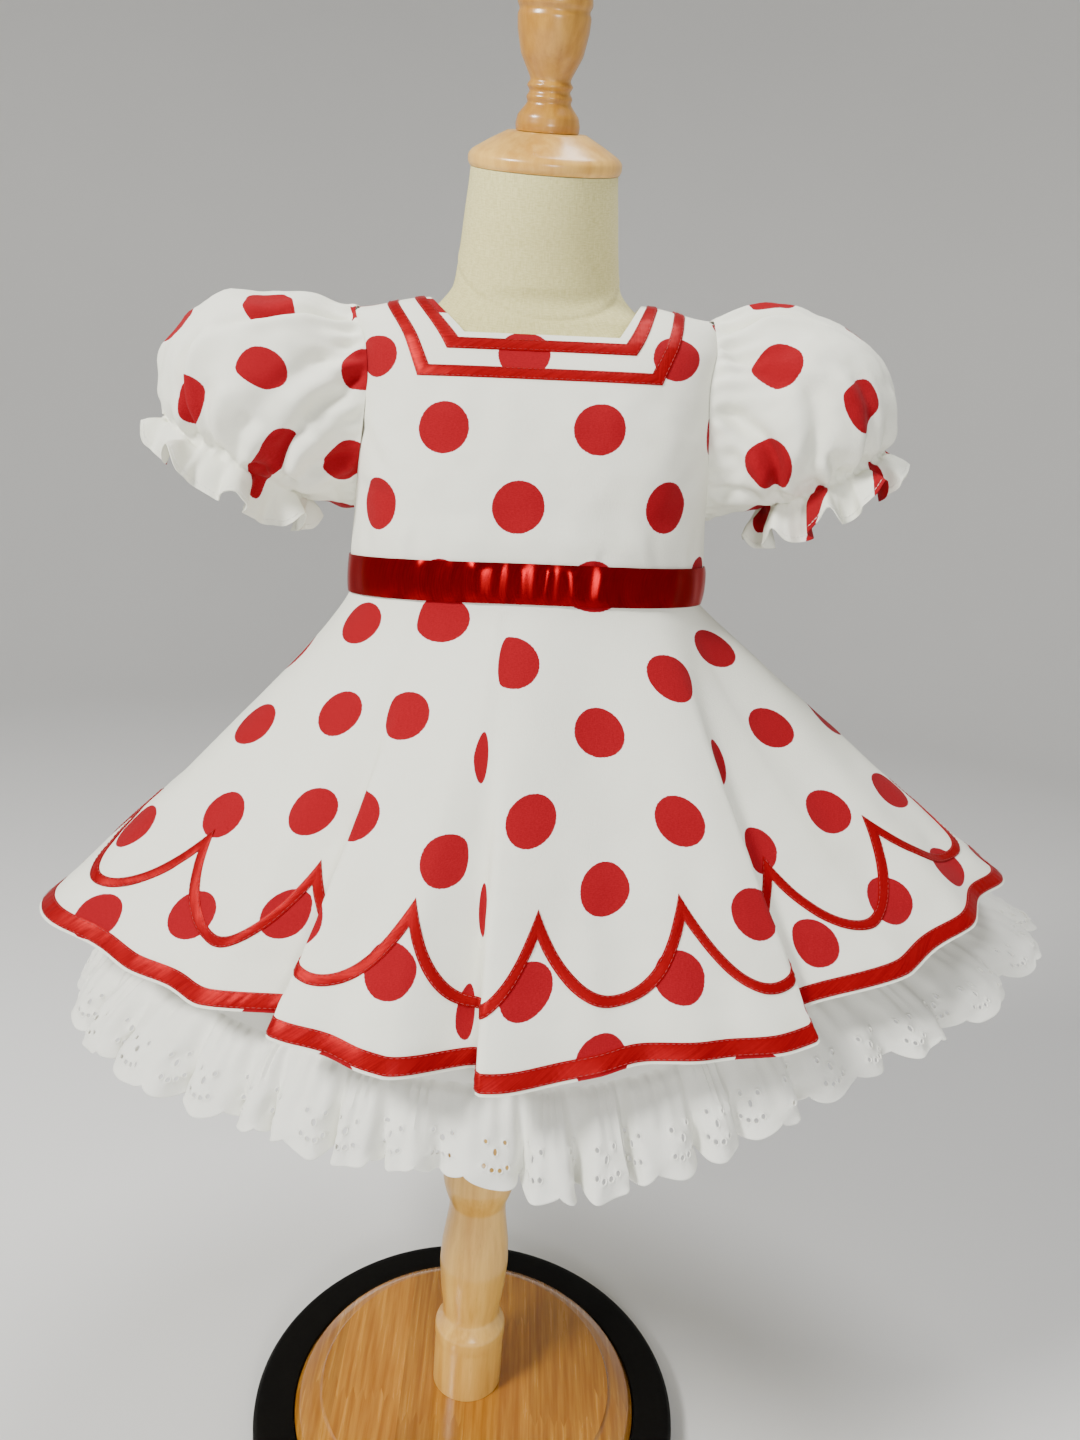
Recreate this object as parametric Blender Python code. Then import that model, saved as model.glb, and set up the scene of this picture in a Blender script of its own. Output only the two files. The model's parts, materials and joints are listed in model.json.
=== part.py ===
"""Toddler's party dress on a limbless dress form with a turned wooden stand.

Metres, +Z up, the front faces -Y. The origin is the middle of the base's underside, on the floor.
Every cloth piece is a wall of its own: a grid of outer points, and an inner face one wall inside.
An azimuth is in degrees from the front, positive towards +X.
"""
import math
from collections import namedtuple

import bpy
from mathutils import Matrix, Vector

# Cloth and seams. LAY is how far what lies on a panel stays off it, and SCALLOP_LAY the same for
# the scalloped ribbon, whose lengths cut the corners of the skirt's folds.
GAP = 0.0003
CLOTH_WALL = 0.0011
RIBBON_WALL = 0.0008
LAY = 0.0005
SCALLOP_LAY = 0.0007
SIDE_SEAM = 90
SMOOTH_ANGLE = 50

# How the dress and the torso hang: a little lower on the left, with the chest a little to the
# right of the axis, and with shoulders that fall away from the neck to the armholes.
HANG_SLOPE = 0.03
HANG_FULL_BELOW = 0.742
HANG_NONE_ABOVE = 0.780
SWAY = 0.0045
SWAY_LOW = 0.400
SWAY_FULL = 0.594
SWAY_FULL_TOP = 0.716
SWAY_HIGH = 0.744
SHOULDER_FALL = 0.0065
SHOULDER_FALL_START = 0.056
SHOULDER_FALL_FULL = 0.098
SHOULDER_FALL_END = 0.122
SHOULDER_FALL_LOW = 0.700

# Torso of the dress form: a row for each level, with its reach to the side, the front and the
# back. squareness is the power of its rounded outline, 2 for an ellipse. tilt is its forward
# slope in degrees.
Level = namedtuple("Level", "height half_width front back squareness tilt")
TORSO = [
    Level(0.405, 0.074, 0.054, 0.058, 2.2, 0),
    Level(0.414, 0.085, 0.064, 0.067, 2.2, 0),
    Level(0.445, 0.092, 0.073, 0.074, 2.2, 0),
    Level(0.495, 0.093, 0.079, 0.073, 2.2, 0),
    Level(0.545, 0.091, 0.080, 0.067, 2.2, 0),
    Level(0.595, 0.089, 0.076, 0.065, 2.2, 0),
    Level(0.640, 0.087, 0.070, 0.067, 2.3, 0),
    Level(0.675, 0.085, 0.062, 0.068, 2.3, 0),
    Level(0.700, 0.081, 0.054, 0.064, 2.3, 0),
    Level(0.718, 0.074, 0.045, 0.055, 2.2, 0),
    Level(0.730, 0.065, 0.040, 0.046, 2.1, 0),
    Level(0.739, 0.053, 0.038, 0.039, 2.0, 2),
    Level(0.748, 0.0450, 0.040, 0.034, 2.0, 6),
    Level(0.765, 0.0422, 0.043, 0.031, 2.0, 11),
    Level(0.785, 0.0400, 0.048, 0.027, 2.0, 16),
    Level(0.8042, 0.0380, 0.0517, 0.0227, 2.0, 16.4),
]
TORSO_SIDES = 28

# Bodice, outer face: a row for each level from the waist seam to the shoulder seam.
BODICE = [
    Level(0.6000, 0.0990, 0.0840, 0.0745, 2.35, 0),
    Level(0.6115, 0.0990, 0.0840, 0.0745, 2.35, 0),
    Level(0.6200, 0.0982, 0.0838, 0.0762, 2.4, 0),
    Level(0.632, 0.0972, 0.0810, 0.0775, 2.5, 0),
    Level(0.655, 0.0965, 0.0765, 0.0780, 2.8, 0),
    Level(0.680, 0.0962, 0.0700, 0.0750, 3.0, 0),
    Level(0.700, 0.0960, 0.0625, 0.0690, 3.2, 0),
    Level(0.718, 0.0960, 0.0530, 0.0590, 3.8, 0),
    Level(0.730, 0.0960, 0.0420, 0.0460, 4.5, 0),
    Level(0.738, 0.0960, 0.0270, 0.0290, 6.0, 0),
    Level(0.7425, 0.0960, 0.0030, 0.0030, 8.0, 0),
]
WAIST_HEIGHT = 0.594
WAIST_BELLY_RISE = 0.006
WAIST_BLEND_TOP = 0.632
SHOULDER_SEAM = 0.7425
SHOULDER_HALF_GAP = 0.0006
ARMHOLE_HEIGHT = 0.6870
ARMHOLE_RISE = 0.0550
ARMHOLE_REACH = 0.040
ARMHOLE_TOP_LEVEL = 0.7375
NECKLINE_FRONT = 0.7210
NECKLINE_BACK = 0.7250
NECK_CORNER = 0.0390
NECK_SHOULDER = 0.0570
NECK_COLUMNS = 4
STRAP_COLUMNS = 7

# Ribbons round the neckline: distances from its edge.
RIBBON_WIDTH = 0.0055
INNER_RIBBON = 0.0030
OUTER_RIBBON = 0.0168
RIBBON_FOOT = OUTER_RIBBON + RIBBON_WIDTH
NECK_RIBBON_MARGIN = 0.001
NECK_RIBBON_LIFT = 0.0007

# Heights of the bodice's rows
LOW_ROWS = [0.600, 0.6115, 0.620, 0.632, 0.638, 0.652, 0.670, 0.687]
ROWS_FRONT = LOW_ROWS + [NECKLINE_FRONT - RIBBON_FOOT, NECKLINE_FRONT, 0.731, 0.738, SHOULDER_SEAM]
ROWS_BACK = LOW_ROWS + [NECKLINE_BACK - RIBBON_FOOT, NECKLINE_BACK, 0.733, 0.738, SHOULDER_SEAM]

# Sash
SASH_WIDTH = 0.0205
SASH_COLUMNS = 48

# Skirt: cut as two flared halves. SKIRT_TOP is how far below the waist seam its table starts, and
# its rows are parts of the way from there to the hem. The last two bound the hem's ribbon.
SKIRT_TOP = 0.0108
SCALLOP_ROW = 0.76
SKIRT_ROWS = [0.0, 0.19, 0.38, 0.56, 0.66, SCALLOP_ROW, 0.86, 0.955, 1.0]

# Hem: a row for each azimuth, with the skirt's reach from the axis and its height there. flare
# is 1 where the skirt runs straight down to the hem, and more where it hangs before it spreads.
Hem = namedtuple("Hem", "azimuth reach height flare")
HEM = [
    Hem(-180, 0.205, 0.388, 1.06),
    Hem(-150, 0.222, 0.391, 1.10),
    Hem(-120, 0.236, 0.396, 1.10),
    Hem(-90, 0.246, 0.395, 1.14),
    Hem(-72, 0.260, 0.409, 1.16),
    Hem(-50, 0.215, 0.397, 1.15),
    Hem(-28, 0.205, 0.396, 1.15),
    Hem(0, 0.198, 0.385, 0.98),
    Hem(22, 0.194, 0.393, 1.12),
    Hem(44, 0.223, 0.397, 1.01),
    Hem(60, 0.248, 0.422, 1.19),
    Hem(74, 0.283, 0.443, 1.00),
    Hem(88, 0.296, 0.442, 1.09),
    Hem(118, 0.278, 0.424, 1.10),
    Hem(150, 0.232, 0.400, 1.10),
    Hem(180, 0.205, 0.388, 1.06),
]

# Folds of the skirt: troughs that start part way down and deepen to the hem. lean moves the
# trough's bed sideways, so that the cloth beside it laps over.
Fold = namedtuple("Fold", "azimuth depth half_angle start lean")
FOLDS = [
    Fold(-158, 0.024, 8, 0.20, 0.6),
    Fold(-128, 0.025, 7.5, 0.12, -0.7),
    Fold(-98, 0.018, 7, 0.30, 0.5),
    Fold(-36, 0.025, 7, 0.16, 0.8),
    Fold(-7, 0.022, 6.5, 0.25, 0.8),
    Fold(52, 0.027, 7.5, 0.10, -0.75),
    Fold(74, 0.008, 6, 0.25, 0.3),
    Fold(106, 0.018, 6, 0.25, -0.5),
    Fold(132, 0.026, 7.5, 0.12, 0.7),
    Fold(168, 0.024, 8, 0.20, -0.6),
]
FOLD_COLUMNS = [-1.0, -0.5, -0.1, 0.25, 0.6, 1.0]
COLUMN_SPACING = 9.0

# Scalloped ribbon on the skirt: its scallops on each half, how far on the first one starts at
# the side seam, and its peaks, feet and width as parts of the way down.
SCALLOPS = 9
SCALLOP_PHASE = 0.3
SCALLOP_PEAK = 0.680
SCALLOP_FOOT = 0.866
SCALLOP_POWER = 2.1
SCALLOP_STEPS = 6
SCALLOP_CLEAR = 0.04
SCALLOP_RIBBON = 0.036

# Underskirt: its top edge is sewn in just inside the skirt, UNDERSKIRT_TOP below the waist seam,
# and it bends outward UNDERSKIRT_BEND below that seam. The insets are from the skirt's outer face.
UNDERSKIRT_TOP = 0.0035
UNDERSKIRT_TOP_INSET = 0.0018
UNDERSKIRT_BEND = 0.0145
UNDERSKIRT_INSET = 0.0034
UNDERSKIRT_ROWS = [-1.0, 0.0, 0.33, 0.67, 1.0]
UNDERSKIRT_COLUMNS = 24

# Where the underskirt ends and the ruffle starts, and the ruffle's own edge: a row for each azimuth.
Under = namedtuple("Under", "azimuth seam_reach seam_height edge_reach edge_height")
UNDER = [
    Under(-180, 0.171, 0.370, 0.182, 0.322),
    Under(-150, 0.186, 0.372, 0.200, 0.325),
    Under(-120, 0.202, 0.376, 0.222, 0.332),
    Under(-90, 0.219, 0.379, 0.240, 0.336),
    Under(-72, 0.219, 0.380, 0.238, 0.338),
    Under(-55, 0.196, 0.380, 0.218, 0.338),
    Under(-40, 0.180, 0.377, 0.196, 0.334),
    Under(-20, 0.172, 0.374, 0.187, 0.333),
    Under(0, 0.166, 0.371, 0.180, 0.330),
    Under(12, 0.168, 0.370, 0.186, 0.323),
    Under(24, 0.172, 0.374, 0.190, 0.328),
    Under(38, 0.184, 0.386, 0.203, 0.342),
    Under(55, 0.204, 0.402, 0.232, 0.364),
    Under(74, 0.250, 0.415, 0.288, 0.384),
    Under(90, 0.281, 0.424, 0.328, 0.398),
    Under(118, 0.250, 0.408, 0.290, 0.376),
    Under(150, 0.196, 0.378, 0.212, 0.332),
    Under(180, 0.171, 0.370, 0.182, 0.322),
]
RUFFLE_SEAM_DROP = 0.0012
RUFFLE_WAVES = 20
RUFFLE_STEPS = 4
RUFFLE_WAVE_DEPTH = 0.0070
RUFFLE_TROUGH = 0.17
RUFFLE_GATHER = 0.12
RUFFLE_ROWS = [0.0, 0.4, 1.0]

# How uneven the ruffle's waves are: a row for each swing, with its size and its count all round.
# In depth the size is a share of a wave's depth, and in place it is in degrees. The counts in
# place are even, so that the waves meet at the side seams.
Swing = namedtuple("Swing", "size count")
RUFFLE_DEPTH_SWINGS = [Swing(0.25, 5), Swing(0.15, 11)]
RUFFLE_PLACE_SWINGS = [Swing(1.4, 6), Swing(0.9, 14), Swing(0.6, 26)]

# Sleeves: a row for each ring from the armhole to the ruffle's edge. The rings swing out about a
# point under the arm; near and reach are the ring's two ends along its own direction, half_depth
# its half size from front to back, drop its shift off the ring's plane, wave its gathers' depth,
# flute the depth of the frill's large waves.
Ring = namedtuple("Ring", "angle near reach half_depth drop wave flute")
LEFT_SLEEVE = [
    Ring(5, 0.007, 0.1190, 0.0450, 0.0, 0.0010, 0.0),
    Ring(19, 0.007, 0.1262, 0.0540, 0.0, 0.0006, 0.0),
    Ring(33, 0.008, 0.1368, 0.0580, 0.0, 0.0003, 0.0),
    Ring(47, 0.012, 0.1360, 0.0560, 0.0, 0.0006, 0.0),
    Ring(57, 0.020, 0.1245, 0.0490, 0.0, 0.0010, 0.0),
    Ring(62, 0.028, 0.1145, 0.0410, 0.0, 0.0012, 0.0),
    Ring(62, 0.027, 0.1150, 0.0420, 0.004, 0.0014, 0.0),
    Ring(62, 0.0222, 0.1173, 0.0468, 0.011, 0.0004, 0.0034),
    Ring(62, 0.0182, 0.1183, 0.0503, 0.018, 0.0, 0.0056),
]
RIGHT_SLEEVE = [
    Ring(5, 0.008, 0.1225, 0.0450, 0.0, 0.0010, 0.0),
    Ring(19, 0.010, 0.1285, 0.0540, 0.0, 0.0006, 0.0),
    Ring(33, 0.013, 0.1300, 0.0580, 0.0, 0.0003, 0.0),
    Ring(46, 0.018, 0.1245, 0.0560, 0.0, 0.0006, 0.0),
    Ring(56, 0.026, 0.1150, 0.0490, 0.0, 0.0010, 0.0),
    Ring(61, 0.032, 0.1055, 0.0400, 0.0, 0.0012, 0.0),
    Ring(61, 0.031, 0.1058, 0.0410, 0.004, 0.0014, 0.0),
    Ring(61, 0.0252, 0.1066, 0.0458, 0.012, 0.0004, 0.0034),
    Ring(61, 0.0212, 0.1068, 0.0493, 0.020, 0.0, 0.0056),
]
SLEEVE_HINGE_X = 0.1006
SLEEVE_HINGE_Z = 0.6225
SLEEVE_COLUMNS = 36
# The frill's flutes, and how uneven they are all round
SLEEVE_FLUTES = 9
FLUTE_SWING = 0.9
SLEEVE_SEAM_LAP = 0.0012

# Stand: what is turned has a row of radius and height for each step of its profile.
BASE_SIDES = 40
CAP_SIDES = 32
POLE_SIDES = 18
CAP_TILT = 16.4
CAP_CENTRE = Vector((0.0, -0.0145, TORSO[-1].height + GAP))
Turn = namedtuple("Turn", "radius height")
BASE_RING = [
    Turn(0.139, 0.0),
    Turn(0.145, 0.004),
    Turn(0.145, 0.017),
    Turn(0.142, 0.020),
    Turn(0.1182, 0.020),
]
BASE_WOOD = [
    Turn(0.1176, 0.0),
    Turn(0.1176, 0.019),
    Turn(0.1140, 0.0248),
    Turn(0.1060, 0.0295),
    Turn(0.1005, 0.0312),
    Turn(0.0990, 0.0340),
]
POLE = [
    Turn(0.0233, 0.0),
    Turn(0.0233, 0.0350),
    Turn(0.0239, 0.0400),
    Turn(0.0239, 0.0460),
    Turn(0.0215, 0.0500),
    Turn(0.0188, 0.0560),
    Turn(0.0215, 0.0760),
    Turn(0.0230, 0.0960),
    Turn(0.0222, 0.1120),
    Turn(0.0190, 0.1350),
    Turn(0.0188, 0.1430),
    Turn(0.0225, 0.1540),
    Turn(0.0240, 0.1610),
    Turn(0.0236, 0.1760),
    Turn(0.0190, 0.1850),
    Turn(0.0175, 0.2600),
    Turn(0.0190, 0.3500),
    Turn(0.0190, 0.3697),
]
CAP = [
    Turn(0.0385, 0.0),
    Turn(0.0396, 0.0018),
    Turn(0.0396, 0.0052),
    Turn(0.0375, 0.0076),
    Turn(0.0290, 0.0125),
    Turn(0.0200, 0.0170),
]
FINIAL = [
    Turn(0.0160, 0.0),
    Turn(0.0164, 0.0030),
    Turn(0.0154, 0.0070),
    Turn(0.0108, 0.0125),
    Turn(0.0117, 0.0150),
    Turn(0.0100, 0.0175),
    Turn(0.0117, 0.0200),
    Turn(0.0100, 0.0222),
    Turn(0.0106, 0.0240),
    Turn(0.0154, 0.0330),
    Turn(0.0176, 0.0430),
    Turn(0.0180, 0.0490),
    Turn(0.0170, 0.0515),
    Turn(0.0184, 0.0540),
    Turn(0.0178, 0.0600),
    Turn(0.0140, 0.0670),
    Turn(0.0070, 0.0710),
]
CAP_THICKNESS = 0.0170

# Colours are linear: red, green, blue.
Finish = namedtuple("Finish", "colour roughness")
FINISHES = {
    "dotted_cotton": Finish((0.83, 0.80, 0.76), 0.85),
    "red_satin": Finish((0.45, 0.006, 0.012), 0.35),
    "white_cotton": Finish((0.86, 0.85, 0.83), 0.85),
    "linen": Finish((0.58, 0.54, 0.40), 0.90),
    "pale_wood": Finish((0.62, 0.40, 0.17), 0.45),
    "black_wood": Finish((0.012, 0.010, 0.009), 0.40),
}


def clear_scene():
    """Remove every object of the file."""
    for item in list(bpy.data.objects):
        bpy.data.objects.remove(item, do_unlink=True)


def finish(name):
    """The Principled material of a finish."""
    material = bpy.data.materials.get(name)
    if material is None:
        material = bpy.data.materials.new(name)
        material.use_nodes = True
        shader = material.node_tree.nodes["Principled BSDF"]
        shader.inputs["Base Color"].default_value = (*FINISHES[name].colour, 1.0)
        shader.inputs["Roughness"].default_value = FINISHES[name].roughness
    return material


def add_object(name, points, faces, material):
    """One named object from points and faces, shaded smooth."""
    mesh = bpy.data.meshes.new(name)
    mesh.from_pydata([tuple(point) for point in points], [], faces)
    mesh.shade_smooth()
    mesh.set_sharp_from_angle(angle=math.radians(SMOOTH_ANGLE))
    item = bpy.data.objects.new(name, mesh)
    item.data.materials.append(finish(material))
    bpy.context.scene.collection.objects.link(item)
    return item


def cubic(before, start, end, after, part):
    """Catmull-Rom value between start and end."""
    slope_in = (end - before) / 2
    slope_out = (after - start) / 2
    square = part * part
    cube = square * part
    return (
        start * (2 * cube - 3 * square + 1)
        + slope_in * (cube - 2 * square + part)
        + end * (3 * square - 2 * cube)
        + slope_out * (cube - square)
    )


def read(rows, column, place, ring=False):
    """A column of a table at a place on its first column, smooth between rows."""
    last = len(rows) - 1
    place = min(max(place, rows[0][0]), rows[last][0])
    low = 0
    while low < last - 1 and rows[low + 1][0] <= place:
        low += 1
    part = (place - rows[low][0]) / (rows[low + 1][0] - rows[low][0])
    values = [getattr(row, column) for row in rows]
    before = values[low - 1] if low > 0 else values[last - 1] if ring else values[0]
    after = values[low + 2] if low + 2 <= last else values[1] if ring else values[last]
    return cubic(before, values[low], values[low + 1], after, part)


def level_at(rows, height):
    """The level of a table at any height."""
    return Level(height, *(read(rows, column, height) for column in Level._fields[1:]))


def reach_of(level, azimuth):
    """Distance from the axis to a level's outline at an azimuth."""
    side = abs(math.sin(math.radians(azimuth))) / level.half_width
    cosine = math.cos(math.radians(azimuth))
    depth = abs(cosine) / (level.front if cosine > 0 else level.back)
    power = level.squareness
    return (side ** power + depth ** power) ** (-1 / power)


def polar(azimuth, reach, height):
    """A point at an azimuth, a distance from the axis and a height."""
    angle = math.radians(azimuth)
    return Vector((reach * math.sin(angle), -reach * math.cos(angle), height))


def ramp(value, start, end):
    """How far a value is on its way from start to end, from 0 to 1 with soft ends."""
    part = min(max((value - start) / (end - start), 0.0), 1.0)
    return part * part * (3 - 2 * part)


def hang(point):
    """Move an upright, even point of the dress or the torso to where it hangs."""
    slope = HANG_SLOPE * ramp(point.z, HANG_NONE_ABOVE, HANG_FULL_BELOW)
    sway = SWAY * ramp(point.z, SWAY_LOW, SWAY_FULL) * ramp(point.z, SWAY_HIGH, SWAY_FULL_TOP)
    side = abs(point.x)
    fall = SHOULDER_FALL * ramp(side, SHOULDER_FALL_START, SHOULDER_FALL_FULL)
    fall *= ramp(side, SHOULDER_FALL_END, SHOULDER_FALL_FULL)
    fall *= ramp(point.z, SHOULDER_FALL_LOW, SHOULDER_SEAM)
    return point + Vector((sway, 0.0, slope * point.x - fall))


def grid_normals(rows, closed, outward):
    """A unit normal for each point of a grid."""
    count = len(rows[0])
    normals = []
    for index, row in enumerate(rows):
        above = rows[max(index - 1, 0)]
        below = rows[min(index + 1, len(rows) - 1)]
        line = []
        for column in range(count):
            left = (column - 1) % count if closed else max(column - 1, 0)
            right = (column + 1) % count if closed else min(column + 1, count - 1)
            normal = (below[column] - above[column]).cross(row[right] - row[left])
            line.append(normal.normalized() * outward)
        normals.append(line)
    return normals


def wall(name, rows, thickness, material, closed=False, outward=1, missing=(), normals=None):
    """A cloth wall from a grid of outer points.

    outward is 1 where the rows run down and the columns run towards +X on the front, else -1.
    missing holds the (row, column) cells that are left open. A panel's two ends are cut square
    to the side seam. What lies on a panel is given the panel's normals.
    """
    count = len(rows[0])
    normals = normals or grid_normals(rows, closed, outward)
    outer = [point for row in rows for point in row]
    inner = [
        point - normal * thickness
        for row, line in zip(rows, normals)
        for point, normal in zip(row, line)
    ]
    if not closed:
        for row in range(len(rows)):
            for end in (row * count, row * count + count - 1):
                inner[end].y = outer[end].y
    faces = []
    for row in range(len(rows) - 1):
        for column in range(count if closed else count - 1):
            if (row, column) in missing:
                continue
            right = (column + 1) % count
            corners = [
                row * count + column,
                (row + 1) * count + column,
                (row + 1) * count + right,
                row * count + right,
            ]
            if outward < 0:
                corners.reverse()
                corners = corners[1:] + corners[:1]
            faces.append((corners[0], corners[1], corners[2]))
            faces.append((corners[0], corners[2], corners[3]))
    edges = {(face[side], face[(side + 1) % 3]) for face in faces for side in range(3)}
    shift = len(outer)
    shell = list(faces)
    shell += [tuple(corner + shift for corner in reversed(face)) for face in faces]
    for start, end in sorted(edges):
        if (end, start) not in edges:
            shell.append((end, start, start + shift, end + shift))
    used = sorted({corner for face in shell for corner in face})
    place = {corner: index for index, corner in enumerate(used)}
    points = outer + inner
    return add_object(
        name,
        [hang(points[corner]) for corner in used],
        [tuple(place[corner] for corner in face) for face in shell],
        material,
    )


def turned(name, profile, sides, material, place=Vector(), tilt=0.0):
    """A solid turned about its own axis, from a profile that runs upwards."""
    points = [
        polar(360 * side / sides, turn.radius, turn.height)
        for turn in profile
        for side in range(sides)
    ]
    faces = ring_faces(len(profile), sides)
    item = add_object(name, points, faces, material)
    item.matrix_world = Matrix.Translation(place) @ Matrix.Rotation(math.radians(tilt), 4, "X")
    return item


def ring_faces(rings, sides):
    """Faces of a closed stack of rings that runs upwards, with flat ends."""
    faces = [tuple(reversed(range(sides)))]
    for ring in range(rings - 1):
        for side in range(sides):
            right = (side + 1) % sides
            low = ring * sides
            high = low + sides
            faces.append((low + side, low + right, high + right, high + side))
    faces.append(tuple((rings - 1) * sides + side for side in range(sides)))
    return faces


def make_torso():
    """The limbless torso and neck, one smooth closed body."""
    points = []
    for level in TORSO:
        middle = (level.back - level.front) / 2
        slope = math.tan(math.radians(level.tilt))
        for side in range(TORSO_SIDES):
            azimuth = 360 * side / TORSO_SIDES
            flat = polar(azimuth, 1.0, level.height)
            half_depth = (level.front + level.back) / 2
            even = level._replace(front=half_depth, back=half_depth)
            reach = reach_of(even, azimuth)
            point = Vector((flat.x * reach, flat.y * reach + middle, level.height))
            point.z += (point.y - middle) * slope
            points.append(hang(point))
    add_object("form_torso", points, ring_faces(len(TORSO), TORSO_SIDES), "linen")


def make_stand():
    """Base, pole, neck cap and finial."""
    ring = BASE_RING + [Turn(BASE_RING[-1].radius, 0.0)]
    points = []
    for turn in ring:
        for side in range(BASE_SIDES):
            points.append(polar(360 * side / BASE_SIDES, turn.radius, turn.height))
    faces = []
    for step in range(len(ring)):
        low = step * BASE_SIDES
        high = ((step + 1) % len(ring)) * BASE_SIDES
        for side in range(BASE_SIDES):
            right = (side + 1) % BASE_SIDES
            faces.append((low + side, low + right, high + right, high + side))
    add_object("stand_base_ring", points, faces, "black_wood")
    turned("stand_base_disc", BASE_WOOD, BASE_SIDES, "pale_wood")
    turned("stand_pole", POLE, POLE_SIDES, "pale_wood", Vector((0, 0, BASE_WOOD[-1].height + GAP)))
    turned("form_neck_cap", CAP, CAP_SIDES, "pale_wood", CAP_CENTRE, CAP_TILT)
    tilt = math.radians(CAP_TILT)
    rise = CAP_THICKNESS + GAP
    seat = CAP_CENTRE + Vector((0, -math.sin(tilt) * rise, math.cos(tilt) * rise))
    turned("form_finial", FINIAL, POLE_SIDES, "pale_wood", seat, CAP_TILT)


def waist_height(azimuth):
    """Height of the waist seam: the belly lifts its front."""
    return WAIST_HEIGHT + WAIST_BELLY_RISE * math.cos(math.radians(azimuth))


def waist_reach(azimuth):
    """Distance from the axis to the cloth at the waist seam."""
    return reach_of(BODICE[0], azimuth)


def armhole_depth(height):
    """Distance from the shoulder line to the armhole's edge at a height."""
    part = (height - ARMHOLE_HEIGHT) / ARMHOLE_RISE
    return ARMHOLE_REACH * math.sqrt(max(0.0, 1 - part * part))


def across(level, depth, front):
    """Half width of a level's outline at a distance from the shoulder line."""
    size = level.front if front else level.back
    part = min(abs(depth) / size, 1.0)
    return level.half_width * (1 - part ** level.squareness) ** (1 / level.squareness)


def neck_half_width(height, bottom):
    """Half width of the neck opening at a height."""
    part = min(max((height - bottom) / (SHOULDER_SEAM - bottom), 0.0), 1.0)
    return NECK_CORNER + (NECK_SHOULDER - NECK_CORNER) * part


def bodice_point(level, part, front):
    """Outer point of a level, part 0 at the middle and 1 at the side or shoulder end."""
    size = level.front if front else level.back
    angle = part * math.pi / 2
    power = 2 / level.squareness
    x = level.half_width * math.sin(angle) ** power
    y = size * math.cos(angle) ** power
    return Vector((x, -y if front else y, level.height))


def part_at(level, x):
    """The part of a level's outline at a half width."""
    return math.asin(min((x / level.half_width) ** (level.squareness / 2), 1.0)) * 2 / math.pi


def bodice_rows(front):
    """Rows of the bodice's front or back, from the waist to the shoulder, -X side to +X side."""
    bottom = NECKLINE_FRONT if front else NECKLINE_BACK
    heights = ROWS_FRONT if front else ROWS_BACK
    steps = [column / NECK_COLUMNS for column in range(NECK_COLUMNS + 1)]
    straps = [column / STRAP_COLUMNS for column in range(1, STRAP_COLUMNS + 1)]
    rows = []
    for height in heights:
        level = level_at(BODICE, height)
        neck = part_at(level, neck_half_width(height, bottom))
        edge = armhole_depth(height)
        size = level.front if front else level.back
        end = math.acos(min((edge / size) ** (level.squareness / 2), 1.0)) * 2 / math.pi
        half = [bodice_point(level, step * neck, front) for step in steps]
        half += [bodice_point(level, neck + step * (end - neck), front) for step in straps]
        blend = max(0.0, (WAIST_BLEND_TOP - height) / (WAIST_BLEND_TOP - heights[0]))
        for point in half:
            azimuth = math.degrees(math.atan2(point.x, -point.y))
            point.z += (waist_height(azimuth) - heights[0]) * blend
        half[-1].y += -GAP / 2 if front else GAP / 2
        mirrored = [Vector((-point.x, point.y, point.z)) for point in reversed(half[1:])]
        rows.append(mirrored + half)
    for point in rows[-1]:
        point.y = -SHOULDER_HALF_GAP if front else SHOULDER_HALF_GAP
    return rows


def bodice_line(rows, heights, height):
    """A level line across a bodice panel, with the row below it and how far it is above that."""
    row = 0
    while row < len(heights) - 2 and heights[row + 1] <= height:
        row += 1
    up = (height - heights[row]) / (heights[row + 1] - heights[row])
    return [low.lerp(high, up) for low, high in zip(rows[row], rows[row + 1])], row, up


def bodice_spot(rows, normals, heights, height, x):
    """Point and normal on a bodice panel at a height and a distance across."""
    line, row, up = bodice_line(rows, heights, height)
    column = 0
    while column < len(line) - 2 and line[column + 1].x <= x:
        column += 1
    along = (x - line[column].x) / (line[column + 1].x - line[column].x)
    left = normals[row][column].lerp(normals[row + 1][column], up)
    right = normals[row][column + 1].lerp(normals[row + 1][column + 1], up)
    return line[column].lerp(line[column + 1], along), left.lerp(right, along).normalized()


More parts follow.
